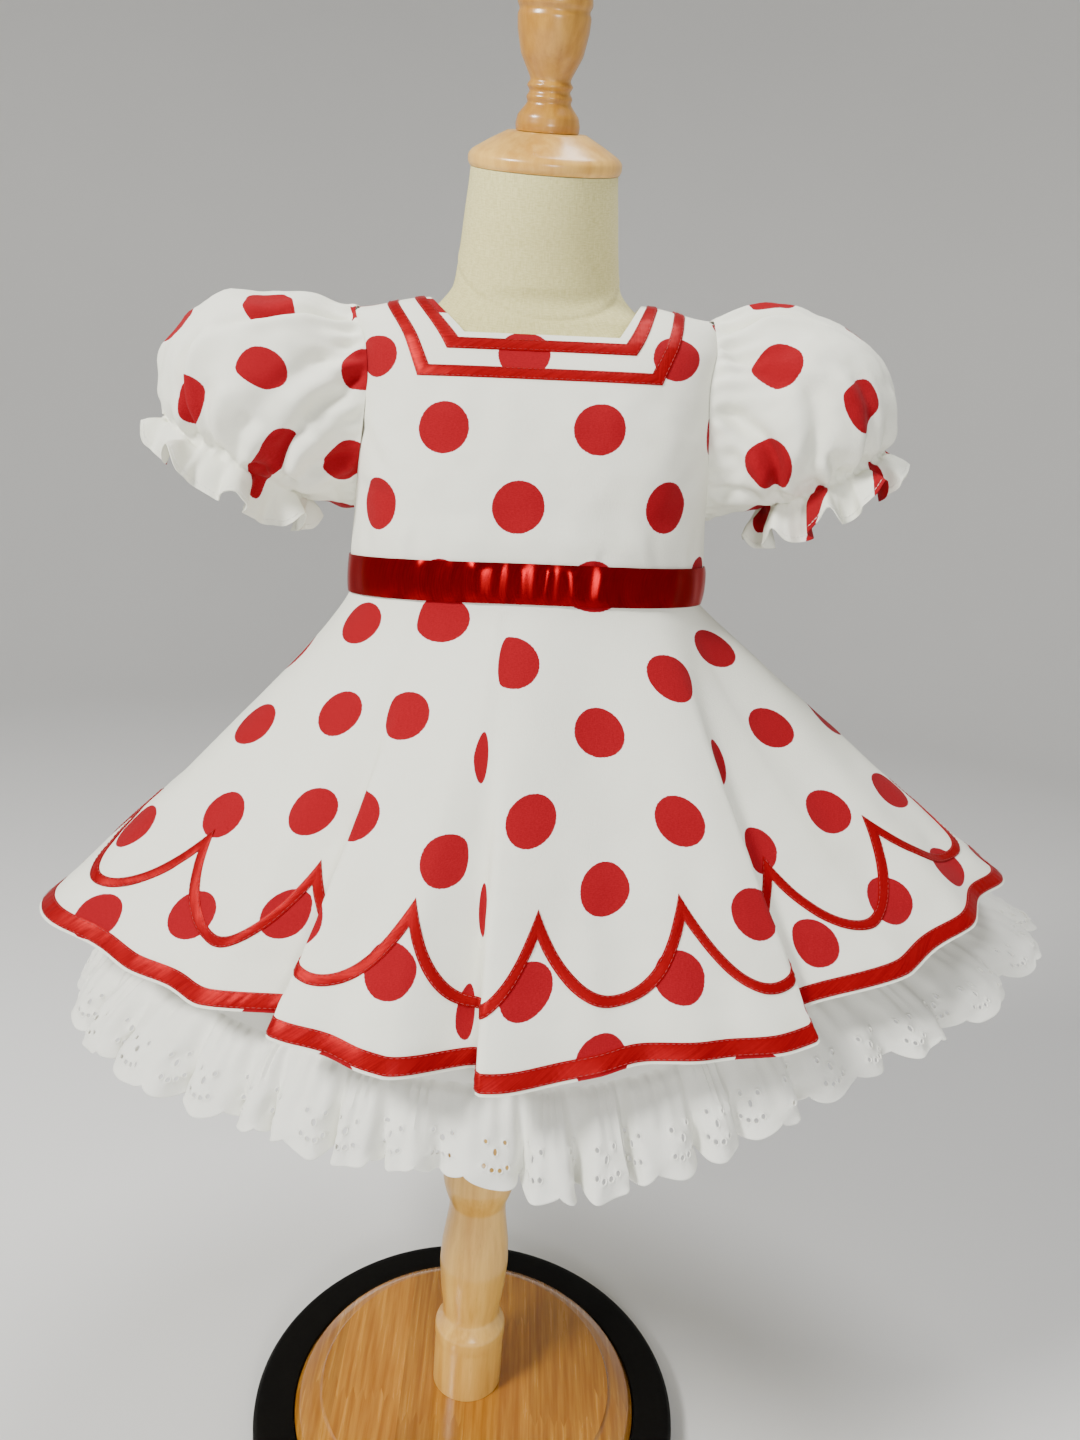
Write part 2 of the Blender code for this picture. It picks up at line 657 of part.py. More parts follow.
def make_neck_ribbon(name, rows, normals, front, offset):
    """A ribbon round half of the neckline, from one shoulder down, across and up to the other."""
    heights = ROWS_FRONT if front else ROWS_BACK
    bottom = NECKLINE_FRONT if front else NECKLINE_BACK
    lines = []
    facing = []
    inner_line = bodice_line(rows, heights, bottom - offset)[0]
    reach = NECK_CORNER + offset - NECK_RIBBON_MARGIN
    crossed = [column for column, point in enumerate(inner_line) if abs(point.x) < reach]
    for edge in (offset, offset + RIBBON_WIDTH):
        corner = Vector((NECK_CORNER + edge, bottom - edge))
        sides = [height for height in reversed(heights) if height > bottom - offset]
        places = [Vector((neck_half_width(height, bottom) + edge, height)) for height in sides]
        places.append(corner)
        low_line = bodice_line(rows, heights, corner.y)[0]
        spots = [bodice_spot(rows, normals, heights, place.y, -place.x) for place in places]
        spots += [bodice_spot(rows, normals, heights, corner.y, low_line[column].x) for column in crossed]
        spots += [bodice_spot(rows, normals, heights, place.y, place.x) for place in reversed(places)]
        lines.append([point + normal * (RIBBON_WALL + NECK_RIBBON_LIFT) for point, normal in spots])
        facing.append([normal for point, normal in spots])
    for line in lines:
        for end in (0, -1):
            line[end].y = -SHOULDER_HALF_GAP if front else SHOULDER_HALF_GAP
    outward = 1 if front else -1
    wall(name, lines, RIBBON_WALL, "red_satin", outward=outward, normals=facing)


def make_bodice():
    """Front and back of the bodice with armholes, a square neckline and its two ribbons."""
    for front in (True, False):
        rows = bodice_rows(front)
        heights = ROWS_FRONT if front else ROWS_BACK
        bottom = NECKLINE_FRONT if front else NECKLINE_BACK
        first = heights.index(bottom)
        middle = len(rows[0]) // 2
        missing = {
            (row, column)
            for row in range(first, len(rows) - 1)
            for column in range(middle - NECK_COLUMNS, middle + NECK_COLUMNS)
        }
        side = "front" if front else "back"
        outward = -1 if front else 1
        wall("bodice_" + side, rows, CLOTH_WALL, "dotted_cotton", outward=outward, missing=missing)
        normals = grid_normals(rows, False, outward)
        make_neck_ribbon("neck_ribbon_inner_" + side, rows, normals, front, INNER_RIBBON)
        make_neck_ribbon("neck_ribbon_outer_" + side, rows, normals, front, OUTER_RIBBON)


def make_sash():
    """The sash, one ring of ribbon over the waist seam."""
    top = []
    low = []
    for column in range(SASH_COLUMNS):
        azimuth = 360 * column / SASH_COLUMNS - 180
        reach = waist_reach(azimuth) + RIBBON_WALL + LAY
        height = waist_height(azimuth)
        top.append(polar(azimuth, reach, height + SASH_WIDTH / 2))
        low.append(polar(azimuth, reach, height - SASH_WIDTH / 2))
    wall("sash", [top, low], RIBBON_WALL, "red_satin", closed=True)


def fold_shift(azimuth, part):
    """Inward and sideways shift of the skirt's cloth at an azimuth and a part of its length."""
    inward = 0.0
    sideways = 0.0
    for fold in FOLDS:
        offset = (azimuth - fold.azimuth + 180) % 360 - 180
        offset /= fold.half_angle
        if abs(offset) < 1 and part > fold.start:
            amount = fold.depth * (part - fold.start) / (1 - fold.start)
            amount *= math.cos(offset * math.pi / 2) ** 2
            inward += amount
            sideways += amount * fold.lean
    return inward, sideways


def skirt_point(azimuth, part):
    """Outer point of the skirt at an azimuth and a part of the way from the sash to the hem."""
    reach = waist_reach(azimuth)
    height = waist_height(azimuth) - SKIRT_TOP
    hem_reach = read(HEM, "reach", azimuth, ring=True)
    hem_height = read(HEM, "height", azimuth, ring=True) - HANG_SLOPE * polar(azimuth, hem_reach, 0).x
    inward, sideways = fold_shift(azimuth, part)
    reach += (hem_reach - reach) * part ** read(HEM, "flare", azimuth, ring=True) - inward
    height += (hem_height - height) * part
    point = polar(azimuth, reach, height)
    return point + polar(azimuth + 90, sideways, 0)


def skirt_columns():
    """Azimuths of the skirt's columns: close together in the folds, wider between them."""
    stops = {-180.0, -90.0, 90.0, 180.0}
    for fold in FOLDS:
        side = math.copysign(1, fold.lean)
        for offset in FOLD_COLUMNS:
            stops.add((fold.azimuth + side * offset * fold.half_angle + 180) % 360 - 180)
    stops = sorted(stops)
    columns = []
    for start, end in zip(stops, stops[1:]):
        count = max(1, math.ceil((end - start) / COLUMN_SPACING))
        columns += [start + (end - start) * step / count for step in range(count)]
    return columns + [180.0]


def panel_columns(columns, front):
    """Columns of the front panel, or of the back panel from its -X seam round to its +X seam."""
    if front:
        return [azimuth for azimuth in columns if -SIDE_SEAM <= azimuth <= SIDE_SEAM]
    left = [azimuth for azimuth in columns if -180 <= azimuth <= -SIDE_SEAM]
    right = [azimuth - 360 for azimuth in columns if SIDE_SEAM <= azimuth < 180]
    return right + left


def part_seams(rows, front):
    """Draw the two ends of each row back from the side seams by half the gap."""
    for row in rows:
        for end in (0, -1):
            row[end].y += -GAP / 2 if front else GAP / 2
    return rows


def skirt_rows(columns, front):
    """Rows of a skirt panel, the first at the waist seam."""
    rows = [[polar(a, waist_reach(a), waist_height(a) - GAP) for a in columns]]
    rows += [[skirt_point((a + 180) % 360 - 180, part) for a in columns] for part in SKIRT_ROWS]
    return part_seams(rows, front)


def lie_on(rows, normals, parts, column, share, part):
    """Point on a panel's facets and smooth normal, a share of the way past a column at a part."""
    row = 0
    while row < len(parts) - 2 and parts[row + 1] <= part:
        row += 1
    down = (part - parts[row]) / (parts[row + 1] - parts[row])
    top_left = rows[row][column]
    top_right = rows[row][column + 1]
    low_left = rows[row + 1][column]
    low_right = rows[row + 1][column + 1]
    if down >= share:
        point = top_left + (low_left - top_left) * down + (low_right - low_left) * share
    else:
        point = top_left + (top_right - top_left) * share + (low_right - top_right) * down
    left = normals[row][column].lerp(normals[row + 1][column], down)
    right = normals[row][column + 1].lerp(normals[row + 1][column + 1], down)
    return point, left.lerp(right, share).normalized()


def scallop_part(place):
    """How far down the skirt the scalloped ribbon's middle runs, place counted in scallops."""
    swing = abs(2 * (place % 1.0) - 1)
    return SCALLOP_FOOT - (SCALLOP_FOOT - SCALLOP_PEAK) * swing ** SCALLOP_POWER


def scallop_stations(columns):
    """Places of the scalloped ribbon's points: its peaks, the panel's columns and steps between."""
    first = math.ceil(columns[0] * SCALLOP_STEPS)
    last = math.floor(columns[-1] * SCALLOP_STEPS)
    steps = range(first, last + 1)
    ends = [columns[0], columns[-1]]
    peaks = [step / SCALLOP_STEPS for step in steps if step % SCALLOP_STEPS == 0]
    kept = [place for place in columns if is_clear(place, peaks + ends)]
    between = [step / SCALLOP_STEPS for step in steps]
    between = [place for place in between if is_clear(place, kept + ends)]
    return sorted(ends + kept + between)


def is_clear(place, others):
    """Whether a place is far enough from the others for a point of its own."""
    return all(abs(place - other) > SCALLOP_CLEAR for other in others)


def cloth_lengths(row):
    """Share of a row's length at each of its points."""
    total = [0.0]
    for start, end in zip(row, row[1:]):
        total.append(total[-1] + (end - start).length)
    return [length / total[-1] for length in total]


def make_skirt_panel(columns, front):
    """One half of the skirt with its hem ribbon and its share of the scalloped ribbon."""
    side = "front" if front else "back"
    azimuths = panel_columns(columns, front)
    rows = skirt_rows(azimuths, front)
    wall("skirt_" + side, rows, CLOTH_WALL, "dotted_cotton")
    normals = grid_normals(rows, False, 1)
    lift = LAY + RIBBON_WALL
    ribbon = [
        [point + normal * lift for point, normal in zip(rows[row], normals[row])]
        for row in (-2, -1)
    ]
    wall("hem_ribbon_" + side, ribbon, RIBBON_WALL, "red_satin", normals=normals[-2:])
    panel = rows[1:]
    lengths = cloth_lengths(panel[SKIRT_ROWS.index(SCALLOP_ROW)])
    places = [SCALLOP_PHASE + share * SCALLOPS for share in lengths]
    lines = [[], []]
    facing = [[], []]
    for place in scallop_stations(places):
        column = 0
        while column < len(places) - 2 and places[column + 1] <= place:
            column += 1
        along = (place - places[column]) / (places[column + 1] - places[column])
        middle = scallop_part(place)
        for edge, shift in enumerate((-SCALLOP_RIBBON / 2, SCALLOP_RIBBON / 2)):
            point, normal = lie_on(panel, normals[1:], SKIRT_ROWS, column, along, middle + shift)
            lines[edge].append(point + normal * (lift + SCALLOP_LAY))
            facing[edge].append(normal)
    wall("scallop_ribbon_" + side, lines, RIBBON_WALL, "red_satin", normals=facing)


def underskirt_point(azimuth, part):
    """Outer point of the underskirt, part 0 at its bend under the sash; below 0 is its top edge."""
    azimuth = (azimuth + 180) % 360 - 180
    if part < 0:
        reach = waist_reach(azimuth) - UNDERSKIRT_TOP_INSET
        return polar(azimuth, reach, waist_height(azimuth) - UNDERSKIRT_TOP)
    reach = waist_reach(azimuth) - UNDERSKIRT_INSET
    height = waist_height(azimuth) - UNDERSKIRT_BEND
    end = read(UNDER, "seam_reach", azimuth, ring=True)
    low = read(UNDER, "seam_height", azimuth, ring=True) - HANG_SLOPE * polar(azimuth, end, 0).x
    return polar(azimuth, reach + (end - reach) * part, height + (low - height) * part)


def swings(rows, azimuth):
    """Sum of a table's swings at an azimuth."""
    return sum(swing.size * math.sin(math.radians(azimuth * swing.count)) for swing in rows)


def ruffle_wave(turn):
    """Height of a wave of the ruffle: a wide crest of 1 and a narrow trough of -1."""
    offset = (turn % 1.0 - 0.5) / RUFFLE_TROUGH
    return 1 - 2 * math.exp(-offset * offset)


def ruffle_point(azimuth, part, wave):
    """Outer point of the ruffle, part 0 at its gathers and 1 at its edge."""
    azimuth = (azimuth + 180) % 360 - 180
    start = read(UNDER, "seam_reach", azimuth, ring=True)
    end = read(UNDER, "edge_reach", azimuth, ring=True)
    high = read(UNDER, "seam_height", azimuth, ring=True) - RUFFLE_SEAM_DROP
    low = read(UNDER, "edge_height", azimuth, ring=True)
    depth = RUFFLE_WAVE_DEPTH * (RUFFLE_GATHER + (1 - RUFFLE_GATHER) * part)
    depth *= 1 + swings(RUFFLE_DEPTH_SWINGS, azimuth)
    reach = start + (end - start) * math.sin(part * math.pi / 2) + depth * wave
    point = polar(azimuth, reach, high + (low - high) * part)
    point.z -= HANG_SLOPE * point.x
    return point


def make_underskirt(front):
    """One half of the underskirt and of its ruffle."""
    side = "front" if front else "back"
    start = -SIDE_SEAM if front else SIDE_SEAM - 360
    count = UNDERSKIRT_COLUMNS
    azimuths = [start + 180 * column / count for column in range(count + 1)]
    rows = [[underskirt_point(azimuth, part) for azimuth in azimuths] for part in UNDERSKIRT_ROWS]
    wall("underskirt_" + side, part_seams(rows, front), CLOTH_WALL, "white_cotton")
    count = RUFFLE_WAVES * RUFFLE_STEPS
    rows = []
    for part in RUFFLE_ROWS:
        row = []
        for column in range(count + 1):
            azimuth = start + 180 * column / count
            azimuth += swings(RUFFLE_PLACE_SWINGS, azimuth)
            row.append(ruffle_point(azimuth, part, ruffle_wave(column / RUFFLE_STEPS)))
        rows.append(row)
    wall("eyelet_ruffle_" + side, part_seams(rows, front), CLOTH_WALL, "white_cotton")


def sleeve_rows(rings, side):
    """Rings of a sleeve from the armhole out. side is -1 on the left and 1 on the right."""
    count = SLEEVE_COLUMNS
    rows = []
    first = []
    for column in range(count):
        turn = 2 * math.pi * column / count
        height = ARMHOLE_HEIGHT + (ARMHOLE_RISE + SLEEVE_SEAM_LAP) * math.cos(turn)
        depth = (ARMHOLE_REACH + SLEEVE_SEAM_LAP) * math.sin(turn)
        level = level_at(BODICE, min(height, ARMHOLE_TOP_LEVEL))
        inner_depth = ARMHOLE_REACH * math.sin(turn)
        width = across(level, inner_depth, depth < 0) + LAY
        first.append(Vector((side * width, depth, height)))
    rows.append(first)
    for ring in rings:
        angle = math.radians(ring.angle)
        along = Vector((side * math.sin(angle), 0, math.cos(angle)))
        off = Vector((side * math.cos(angle), 0, -math.sin(angle)))
        hinge = Vector((side * SLEEVE_HINGE_X, 0, SLEEVE_HINGE_Z)) + off * ring.drop
        row = []
        for column in range(count):
            turn = 2 * math.pi * column / count
            swell = ring.wave * (1 if column % 2 else -1)
            swell += ring.flute * math.sin(SLEEVE_FLUTES * turn + FLUTE_SWING * math.sin(turn + side))
            middle = (ring.near + ring.reach) / 2
            half = (ring.reach - ring.near) / 2 + swell
            point = hinge + along * (middle + half * math.cos(turn))
            point += Vector((0, (ring.half_depth + swell) * math.sin(turn), 0))
            row.append(point)
        rows.append(row)
    return rows


def make_sleeves():
    """The two puff sleeves, each with its gathered cuff edge."""
    wall("sleeve_left", sleeve_rows(LEFT_SLEEVE, -1), CLOTH_WALL, "dotted_cotton", True, -1)
    wall("sleeve_right", sleeve_rows(RIGHT_SLEEVE, 1), CLOTH_WALL, "dotted_cotton", True, 1)


def build():
    """Build every piece."""
    clear_scene()
    make_stand()
    make_torso()
    make_bodice()
    make_sash()
    columns = skirt_columns()
    for front in (True, False):
        make_skirt_panel(columns, front)
        make_underskirt(front)
    make_sleeves()


build()
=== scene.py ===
"""The dress, its form and its stand as they look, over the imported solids, in metres, +Z up.

A row of a cloth grid runs round the garment and its columns run down it. An azimuth is in degrees
from the front, positive towards +X. A flat point is a place on the piece as it was cut.
"""
import json
import math
from collections import namedtuple

import bpy
import numpy as np
from mathutils import Matrix, Vector
from mathutils.geometry import delaunay_2d_cdt


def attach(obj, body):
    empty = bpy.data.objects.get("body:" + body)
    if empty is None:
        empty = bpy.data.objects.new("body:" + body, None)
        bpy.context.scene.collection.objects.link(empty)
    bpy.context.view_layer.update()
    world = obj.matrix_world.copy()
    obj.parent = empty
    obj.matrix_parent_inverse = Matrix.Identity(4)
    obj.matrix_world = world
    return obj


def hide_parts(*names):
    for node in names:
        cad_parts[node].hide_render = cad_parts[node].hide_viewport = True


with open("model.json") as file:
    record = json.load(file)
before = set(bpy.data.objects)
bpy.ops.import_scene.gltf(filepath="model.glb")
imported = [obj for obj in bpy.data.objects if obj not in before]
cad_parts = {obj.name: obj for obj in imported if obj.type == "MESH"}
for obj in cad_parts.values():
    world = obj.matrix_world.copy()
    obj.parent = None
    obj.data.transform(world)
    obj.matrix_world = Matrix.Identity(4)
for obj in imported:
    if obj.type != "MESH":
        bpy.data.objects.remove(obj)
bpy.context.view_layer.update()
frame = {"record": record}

MM = 0.001

# How the dress and the torso hang
HANG_SLOPE = 0.03
HANG_FULL_BELOW = 0.742
HANG_NONE_ABOVE = 0.780
SWAY = 0.0045
SWAY_LOW = 0.400
SWAY_FULL = 0.594
SWAY_FULL_TOP = 0.716
SWAY_HIGH = 0.744
SHOULDER_FALL = 0.0065
SHOULDER_FALL_START = 0.056
SHOULDER_FALL_FULL = 0.098
SHOULDER_FALL_END = 0.122
SHOULDER_FALL_LOW = 0.700

Level = namedtuple("Level", "height half_width front back squareness tilt")
TORSO = [
    Level(0.405, 0.074, 0.054, 0.058, 2.2, 0),
    Level(0.414, 0.085, 0.064, 0.067, 2.2, 0),
    Level(0.445, 0.092, 0.073, 0.074, 2.2, 0),
    Level(0.495, 0.093, 0.079, 0.073, 2.2, 0),
    Level(0.545, 0.091, 0.080, 0.067, 2.2, 0),
    Level(0.595, 0.089, 0.076, 0.065, 2.2, 0),
    Level(0.640, 0.087, 0.070, 0.067, 2.3, 0),
    Level(0.675, 0.085, 0.062, 0.068, 2.3, 0),
    Level(0.700, 0.081, 0.054, 0.064, 2.3, 0),
    Level(0.718, 0.074, 0.045, 0.055, 2.2, 0),
    Level(0.730, 0.065, 0.040, 0.046, 2.1, 0),
    Level(0.739, 0.053, 0.038, 0.039, 2.0, 2),
    Level(0.748, 0.0450, 0.040, 0.034, 2.0, 6),
    Level(0.765, 0.0422, 0.043, 0.031, 2.0, 11),
    Level(0.785, 0.0400, 0.048, 0.027, 2.0, 16),
    Level(0.8042, 0.0380, 0.0517, 0.0227, 2.0, 16.4),
]
BODICE = [
    Level(0.6000, 0.0990, 0.0840, 0.0745, 2.35, 0),
    Level(0.6115, 0.0990, 0.0840, 0.0745, 2.35, 0),
    Level(0.6200, 0.0982, 0.0838, 0.0762, 2.4, 0),
    Level(0.632, 0.0972, 0.0810, 0.0775, 2.5, 0),
    Level(0.655, 0.0965, 0.0765, 0.0780, 2.8, 0),
    Level(0.680, 0.0962, 0.0700, 0.0750, 3.0, 0),
    Level(0.700, 0.0960, 0.0625, 0.0690, 3.2, 0),
    Level(0.718, 0.0960, 0.0530, 0.0590, 3.8, 0),
    Level(0.730, 0.0960, 0.0420, 0.0460, 4.5, 0),
    Level(0.738, 0.0960, 0.0270, 0.0290, 6.0, 0),
    Level(0.7425, 0.0960, 0.0030, 0.0030, 8.0, 0),
]
WAIST_HEIGHT = 0.594
WAIST_BELLY_RISE = 0.006
BODICE_FOOT = 0.600
WAIST_BLEND_TOP = 0.632
SHOULDER_SEAM = 0.7425
ARMHOLE_HEIGHT = 0.6870
ARMHOLE_RISE = 0.0550
ARMHOLE_REACH = 0.040
ARMHOLE_TOP_LEVEL = 0.7375
NECKLINE_FRONT = 0.7210
NECKLINE_BACK = 0.7250
NECK_CORNER = 0.0390
NECK_SHOULDER = 0.0570

RIBBON_WIDTH = 0.0055
INNER_RIBBON = 0.0030
OUTER_RIBBON = 0.0168
SASH_WIDTH = 0.0205

SKIRT_TOP = 0.0108
Hem = namedtuple("Hem", "azimuth reach height flare")
HEM = [
    Hem(-180, 0.205, 0.388, 1.06),
    Hem(-150, 0.222, 0.391, 1.10),
    Hem(-120, 0.236, 0.396, 1.10),
    Hem(-90, 0.246, 0.395, 1.14),
    Hem(-72, 0.260, 0.409, 1.16),
    Hem(-50, 0.215, 0.397, 1.15),
    Hem(-28, 0.205, 0.396, 1.15),
    Hem(0, 0.198, 0.385, 0.98),
    Hem(22, 0.194, 0.393, 1.12),
    Hem(44, 0.223, 0.397, 1.01),
    Hem(60, 0.248, 0.422, 1.19),
    Hem(74, 0.283, 0.443, 1.00),
    Hem(88, 0.296, 0.442, 1.09),
    Hem(118, 0.278, 0.424, 1.10),
    Hem(150, 0.232, 0.400, 1.10),
    Hem(180, 0.205, 0.388, 1.06),
]
Fold = namedtuple("Fold", "azimuth depth half_angle start lean")
FOLDS = [
    Fold(-158, 0.024, 8, 0.20, 0.6),
    Fold(-128, 0.025, 7.5, 0.12, -0.7),
    Fold(-98, 0.018, 7, 0.30, 0.5),
    Fold(-36, 0.025, 7, 0.16, 0.8),
    Fold(-7, 0.022, 6.5, 0.25, 0.8),
    Fold(52, 0.027, 7.5, 0.10, -0.75),
    Fold(74, 0.008, 6, 0.25, 0.3),
    Fold(106, 0.018, 6, 0.25, -0.5),
    Fold(132, 0.026, 7.5, 0.12, 0.7),
    Fold(168, 0.024, 8, 0.20, -0.6),
]
FOLD_EASE = 0.08

# Small folds between the large ones, which the solids don't have
CREASES = [
    Fold(-76, 0.0035, 8, 0.35, 0.3),
    Fold(-61, 0.0045, 7, 0.30, -0.3),
    Fold(-49, 0.0030, 6, 0.20, 0.2),
    Fold(-22, 0.0030, 6, 0.35, 0.2),
    Fold(9, 0.0020, 8, 0.30, 0.2),
    Fold(22, 0.0028, 7, 0.45, -0.3),
    Fold(35, 0.0030, 6, 0.35, -0.2),
    Fold(64, 0.0030, 5, 0.30, 0.2),
    Fold(86, 0.0040, 6, 0.40, -0.2),
    Fold(120, 0.0035, 7, 0.35, 0.2),
    Fold(150, 0.0040, 8, 0.40, -0.3),
    Fold(180, 0.0030, 7, 0.45, 0.2),
    Fold(-143, 0.0040, 7, 0.35, 0.2),
    Fold(-112, 0.0035, 7, 0.30, -0.2),
]

# The skirt's cut: each half is a sector of a ring, SECTOR degrees wide without the cloth that is
# hidden in its folds.
SECTOR = 150.9
CUT_WAIST = 0.095
CUT_LENGTH = 0.227
FOLD_ALLOWANCE = 10.0
Hidden = namedtuple("Hidden", "azimuth degrees")
HIDDEN = [
    Hidden(-158, 4.0),
    Hidden(-128, 5.0),
    Hidden(-98, 3.0),
    Hidden(-36, 5.7),
    Hidden(-7, 8.6),
    Hidden(52, 4.9),
    Hidden(106, 3.0),
    Hidden(132, 5.0),
    Hidden(168, 4.0),
]
HIDDEN_HALF_WIDTH = 2.5

# Columns and rows of the skirt's grids, and the part of its length where the columns are even
SKIRT_GRID = {"front": (300, 76), "back": (230, 58)}
CROWD_PART = 0.85

# Scallops of a half, where the first begins, and how far down the skirt their peaks and feet lie
SCALLOPS = 9
SCALLOP_PHASE = 0.3
SCALLOP_PEAK = 0.680
SCALLOP_FOOT = 0.866
SCALLOP_POWER = 2.1
SCALLOP_ROW = 0.76
HEM_RIBBON_FROM = 0.957
HEM_RIBBON_TO = 0.994
HEM_COLUMNS = 900
SCALLOP_COLUMNS = 56
MITRE_COLUMNS = 5

UNDERSKIRT_TOP = 0.0035
UNDERSKIRT_TOP_INSET = 0.0018
UNDERSKIRT_BEND = 0.0145
UNDERSKIRT_INSET = 0.0034
UNDERSKIRT_GRID = (181, 30)
Under = namedtuple("Under", "azimuth seam_reach seam_height edge_reach edge_height")
UNDER = [
    Under(-180, 0.171, 0.370, 0.182, 0.322),
    Under(-150, 0.186, 0.372, 0.200, 0.325),
    Under(-120, 0.202, 0.376, 0.222, 0.332),
    Under(-90, 0.219, 0.379, 0.240, 0.336),
    Under(-72, 0.219, 0.380, 0.238, 0.338),
    Under(-55, 0.196, 0.380, 0.218, 0.338),
    Under(-40, 0.180, 0.377, 0.196, 0.334),
    Under(-20, 0.172, 0.374, 0.187, 0.333),
    Under(0, 0.166, 0.371, 0.180, 0.330),
    Under(12, 0.168, 0.370, 0.186, 0.323),
    Under(24, 0.172, 0.374, 0.190, 0.328),
    Under(38, 0.184, 0.386, 0.203, 0.342),
    Under(55, 0.204, 0.402, 0.232, 0.364),
    Under(74, 0.250, 0.415, 0.288, 0.384),
    Under(90, 0.281, 0.424, 0.328, 0.398),
    Under(118, 0.250, 0.408, 0.290, 0.376),
    Under(150, 0.196, 0.378, 0.212, 0.332),
    Under(180, 0.171, 0.370, 0.182, 0.322),
]
RUFFLE_SEAM_DROP = 0.0012
RUFFLE_WAVES = 20
RUFFLE_WAVE_DEPTH = 0.0070
RUFFLE_TROUGH = 0.17
RUFFLE_GATHER = 0.12
RUFFLE_LEAN = 0.42
RUFFLE_TUCK = 0.0019
RUFFLE_PLEAT = 0.0013
RUFFLE_SOFT_WAVE = 0.0012
RUFFLE_HIDE = 0.0014
RUFFLE_LENGTH = 48.0
RUFFLE_ALLOWANCE = 3.0
Swing = namedtuple("Swing", "size count")
RUFFLE_DEPTH_SWINGS = [Swing(0.25, 5), Swing(0.15, 11)]
RUFFLE_PLACE_SWINGS = [Swing(1.4, 6), Swing(0.9, 14), Swing(0.6, 26)]

Ring = namedtuple("Ring", "angle near reach half_depth drop")
LEFT_SLEEVE = [
    Ring(5, 0.007, 0.1190, 0.0450, 0.0),
    Ring(19, 0.007, 0.1262, 0.0540, 0.0),
    Ring(33, 0.008, 0.1368, 0.0580, 0.0),
    Ring(47, 0.012, 0.1360, 0.0560, 0.0),
    Ring(57, 0.020, 0.1245, 0.0490, 0.0),
    Ring(62, 0.028, 0.1145, 0.0410, 0.0),
    Ring(62, 0.027, 0.1150, 0.0420, 0.004),
    Ring(62, 0.0222, 0.1173, 0.0468, 0.011),
    Ring(62, 0.0182, 0.1183, 0.0503, 0.018),
]
RIGHT_SLEEVE = [
    Ring(5, 0.008, 0.1225, 0.0450, 0.0),
    Ring(19, 0.010, 0.1285, 0.0540, 0.0),
    Ring(33, 0.013, 0.1300, 0.0580, 0.0),
    Ring(46, 0.018, 0.1245, 0.0560, 0.0),
    Ring(56, 0.026, 0.1150, 0.0490, 0.0),
    Ring(61, 0.032, 0.1055, 0.0400, 0.0),
    Ring(61, 0.031, 0.1058, 0.0410, 0.004),
    Ring(61, 0.0252, 0.1066, 0.0458, 0.012),
    Ring(61, 0.0212, 0.1068, 0.0493, 0.020),
]
SLEEVE_HINGE_X = 0.1006
SLEEVE_HINGE_Z = 0.6225
SLEEVE_SEAM_LAP = 0.0012
SLEEVE_WAVES = 17
FRILL_WAVES = 9
FRILL_SWING = 0.9
FRILL_DEPTH = 0.0078

# Creases of the sleeves, each a trough with a ridge beside it: its two ends as a turn round the
# sleeve in degrees, 270 in front, 360 on top and 450 behind, and a place counted in rings from the
# armhole; its width and depth; and the cloth that it hides across and down. All in millimetres.
Crease = namedtuple("Crease", "turn place end_turn end_place width depth across down")
LEFT_CREASES = [
    Crease(331, -0.3, 309, 3.2, 4.5, 3.8, 16.6, 1.4),
    Crease(308, -0.2, 262, 3.0, 6.0, 2.8, 9.7, 0),
    Crease(284, -0.2, 249, 2.4, 5.5, 3.0, 0.8, 0),
    Crease(317, 3.3, 284, 5.6, 4.0, 3.4, 0, 0),
    Crease(288, 3.4, 271, 6.2, 6.0, 2.6, 0, 0),
    Crease(264, 3.2, 254, 5.6, 5.5, 2.4, 0, 0),
    Crease(256, 1.7, 232, 4.6, 4.5, 3.0, 0, 16.0),
    Crease(241, 0.2, 223, 4.0, 5.0, 2.2, 0, 3.2),
    Crease(352, -0.3, 343, 2.2, 4.5, 2.0, 0, 1.4),
    Crease(383, -0.3, 396, 3.0, 5.0, 3.0, 10, 0),
    Crease(412, -0.2, 446, 3.2, 6.5, 2.4, 0, 0),
    Crease(345, 3.9, 338, 6.1, 5.0, 2.2, 0, 0),
    Crease(398, 3.6, 408, 6.1, 5.0, 2.6, 0, 6),
    Crease(436, -0.2, 470, 2.6, 6.0, 2.4, 0, 0),
    Crease(432, 3.8, 440, 6.2, 5.5, 2.4, 0, 0),
    Crease(470, 3.0, 480, 6.0, 5.0, 2.2, 0, 0),
]
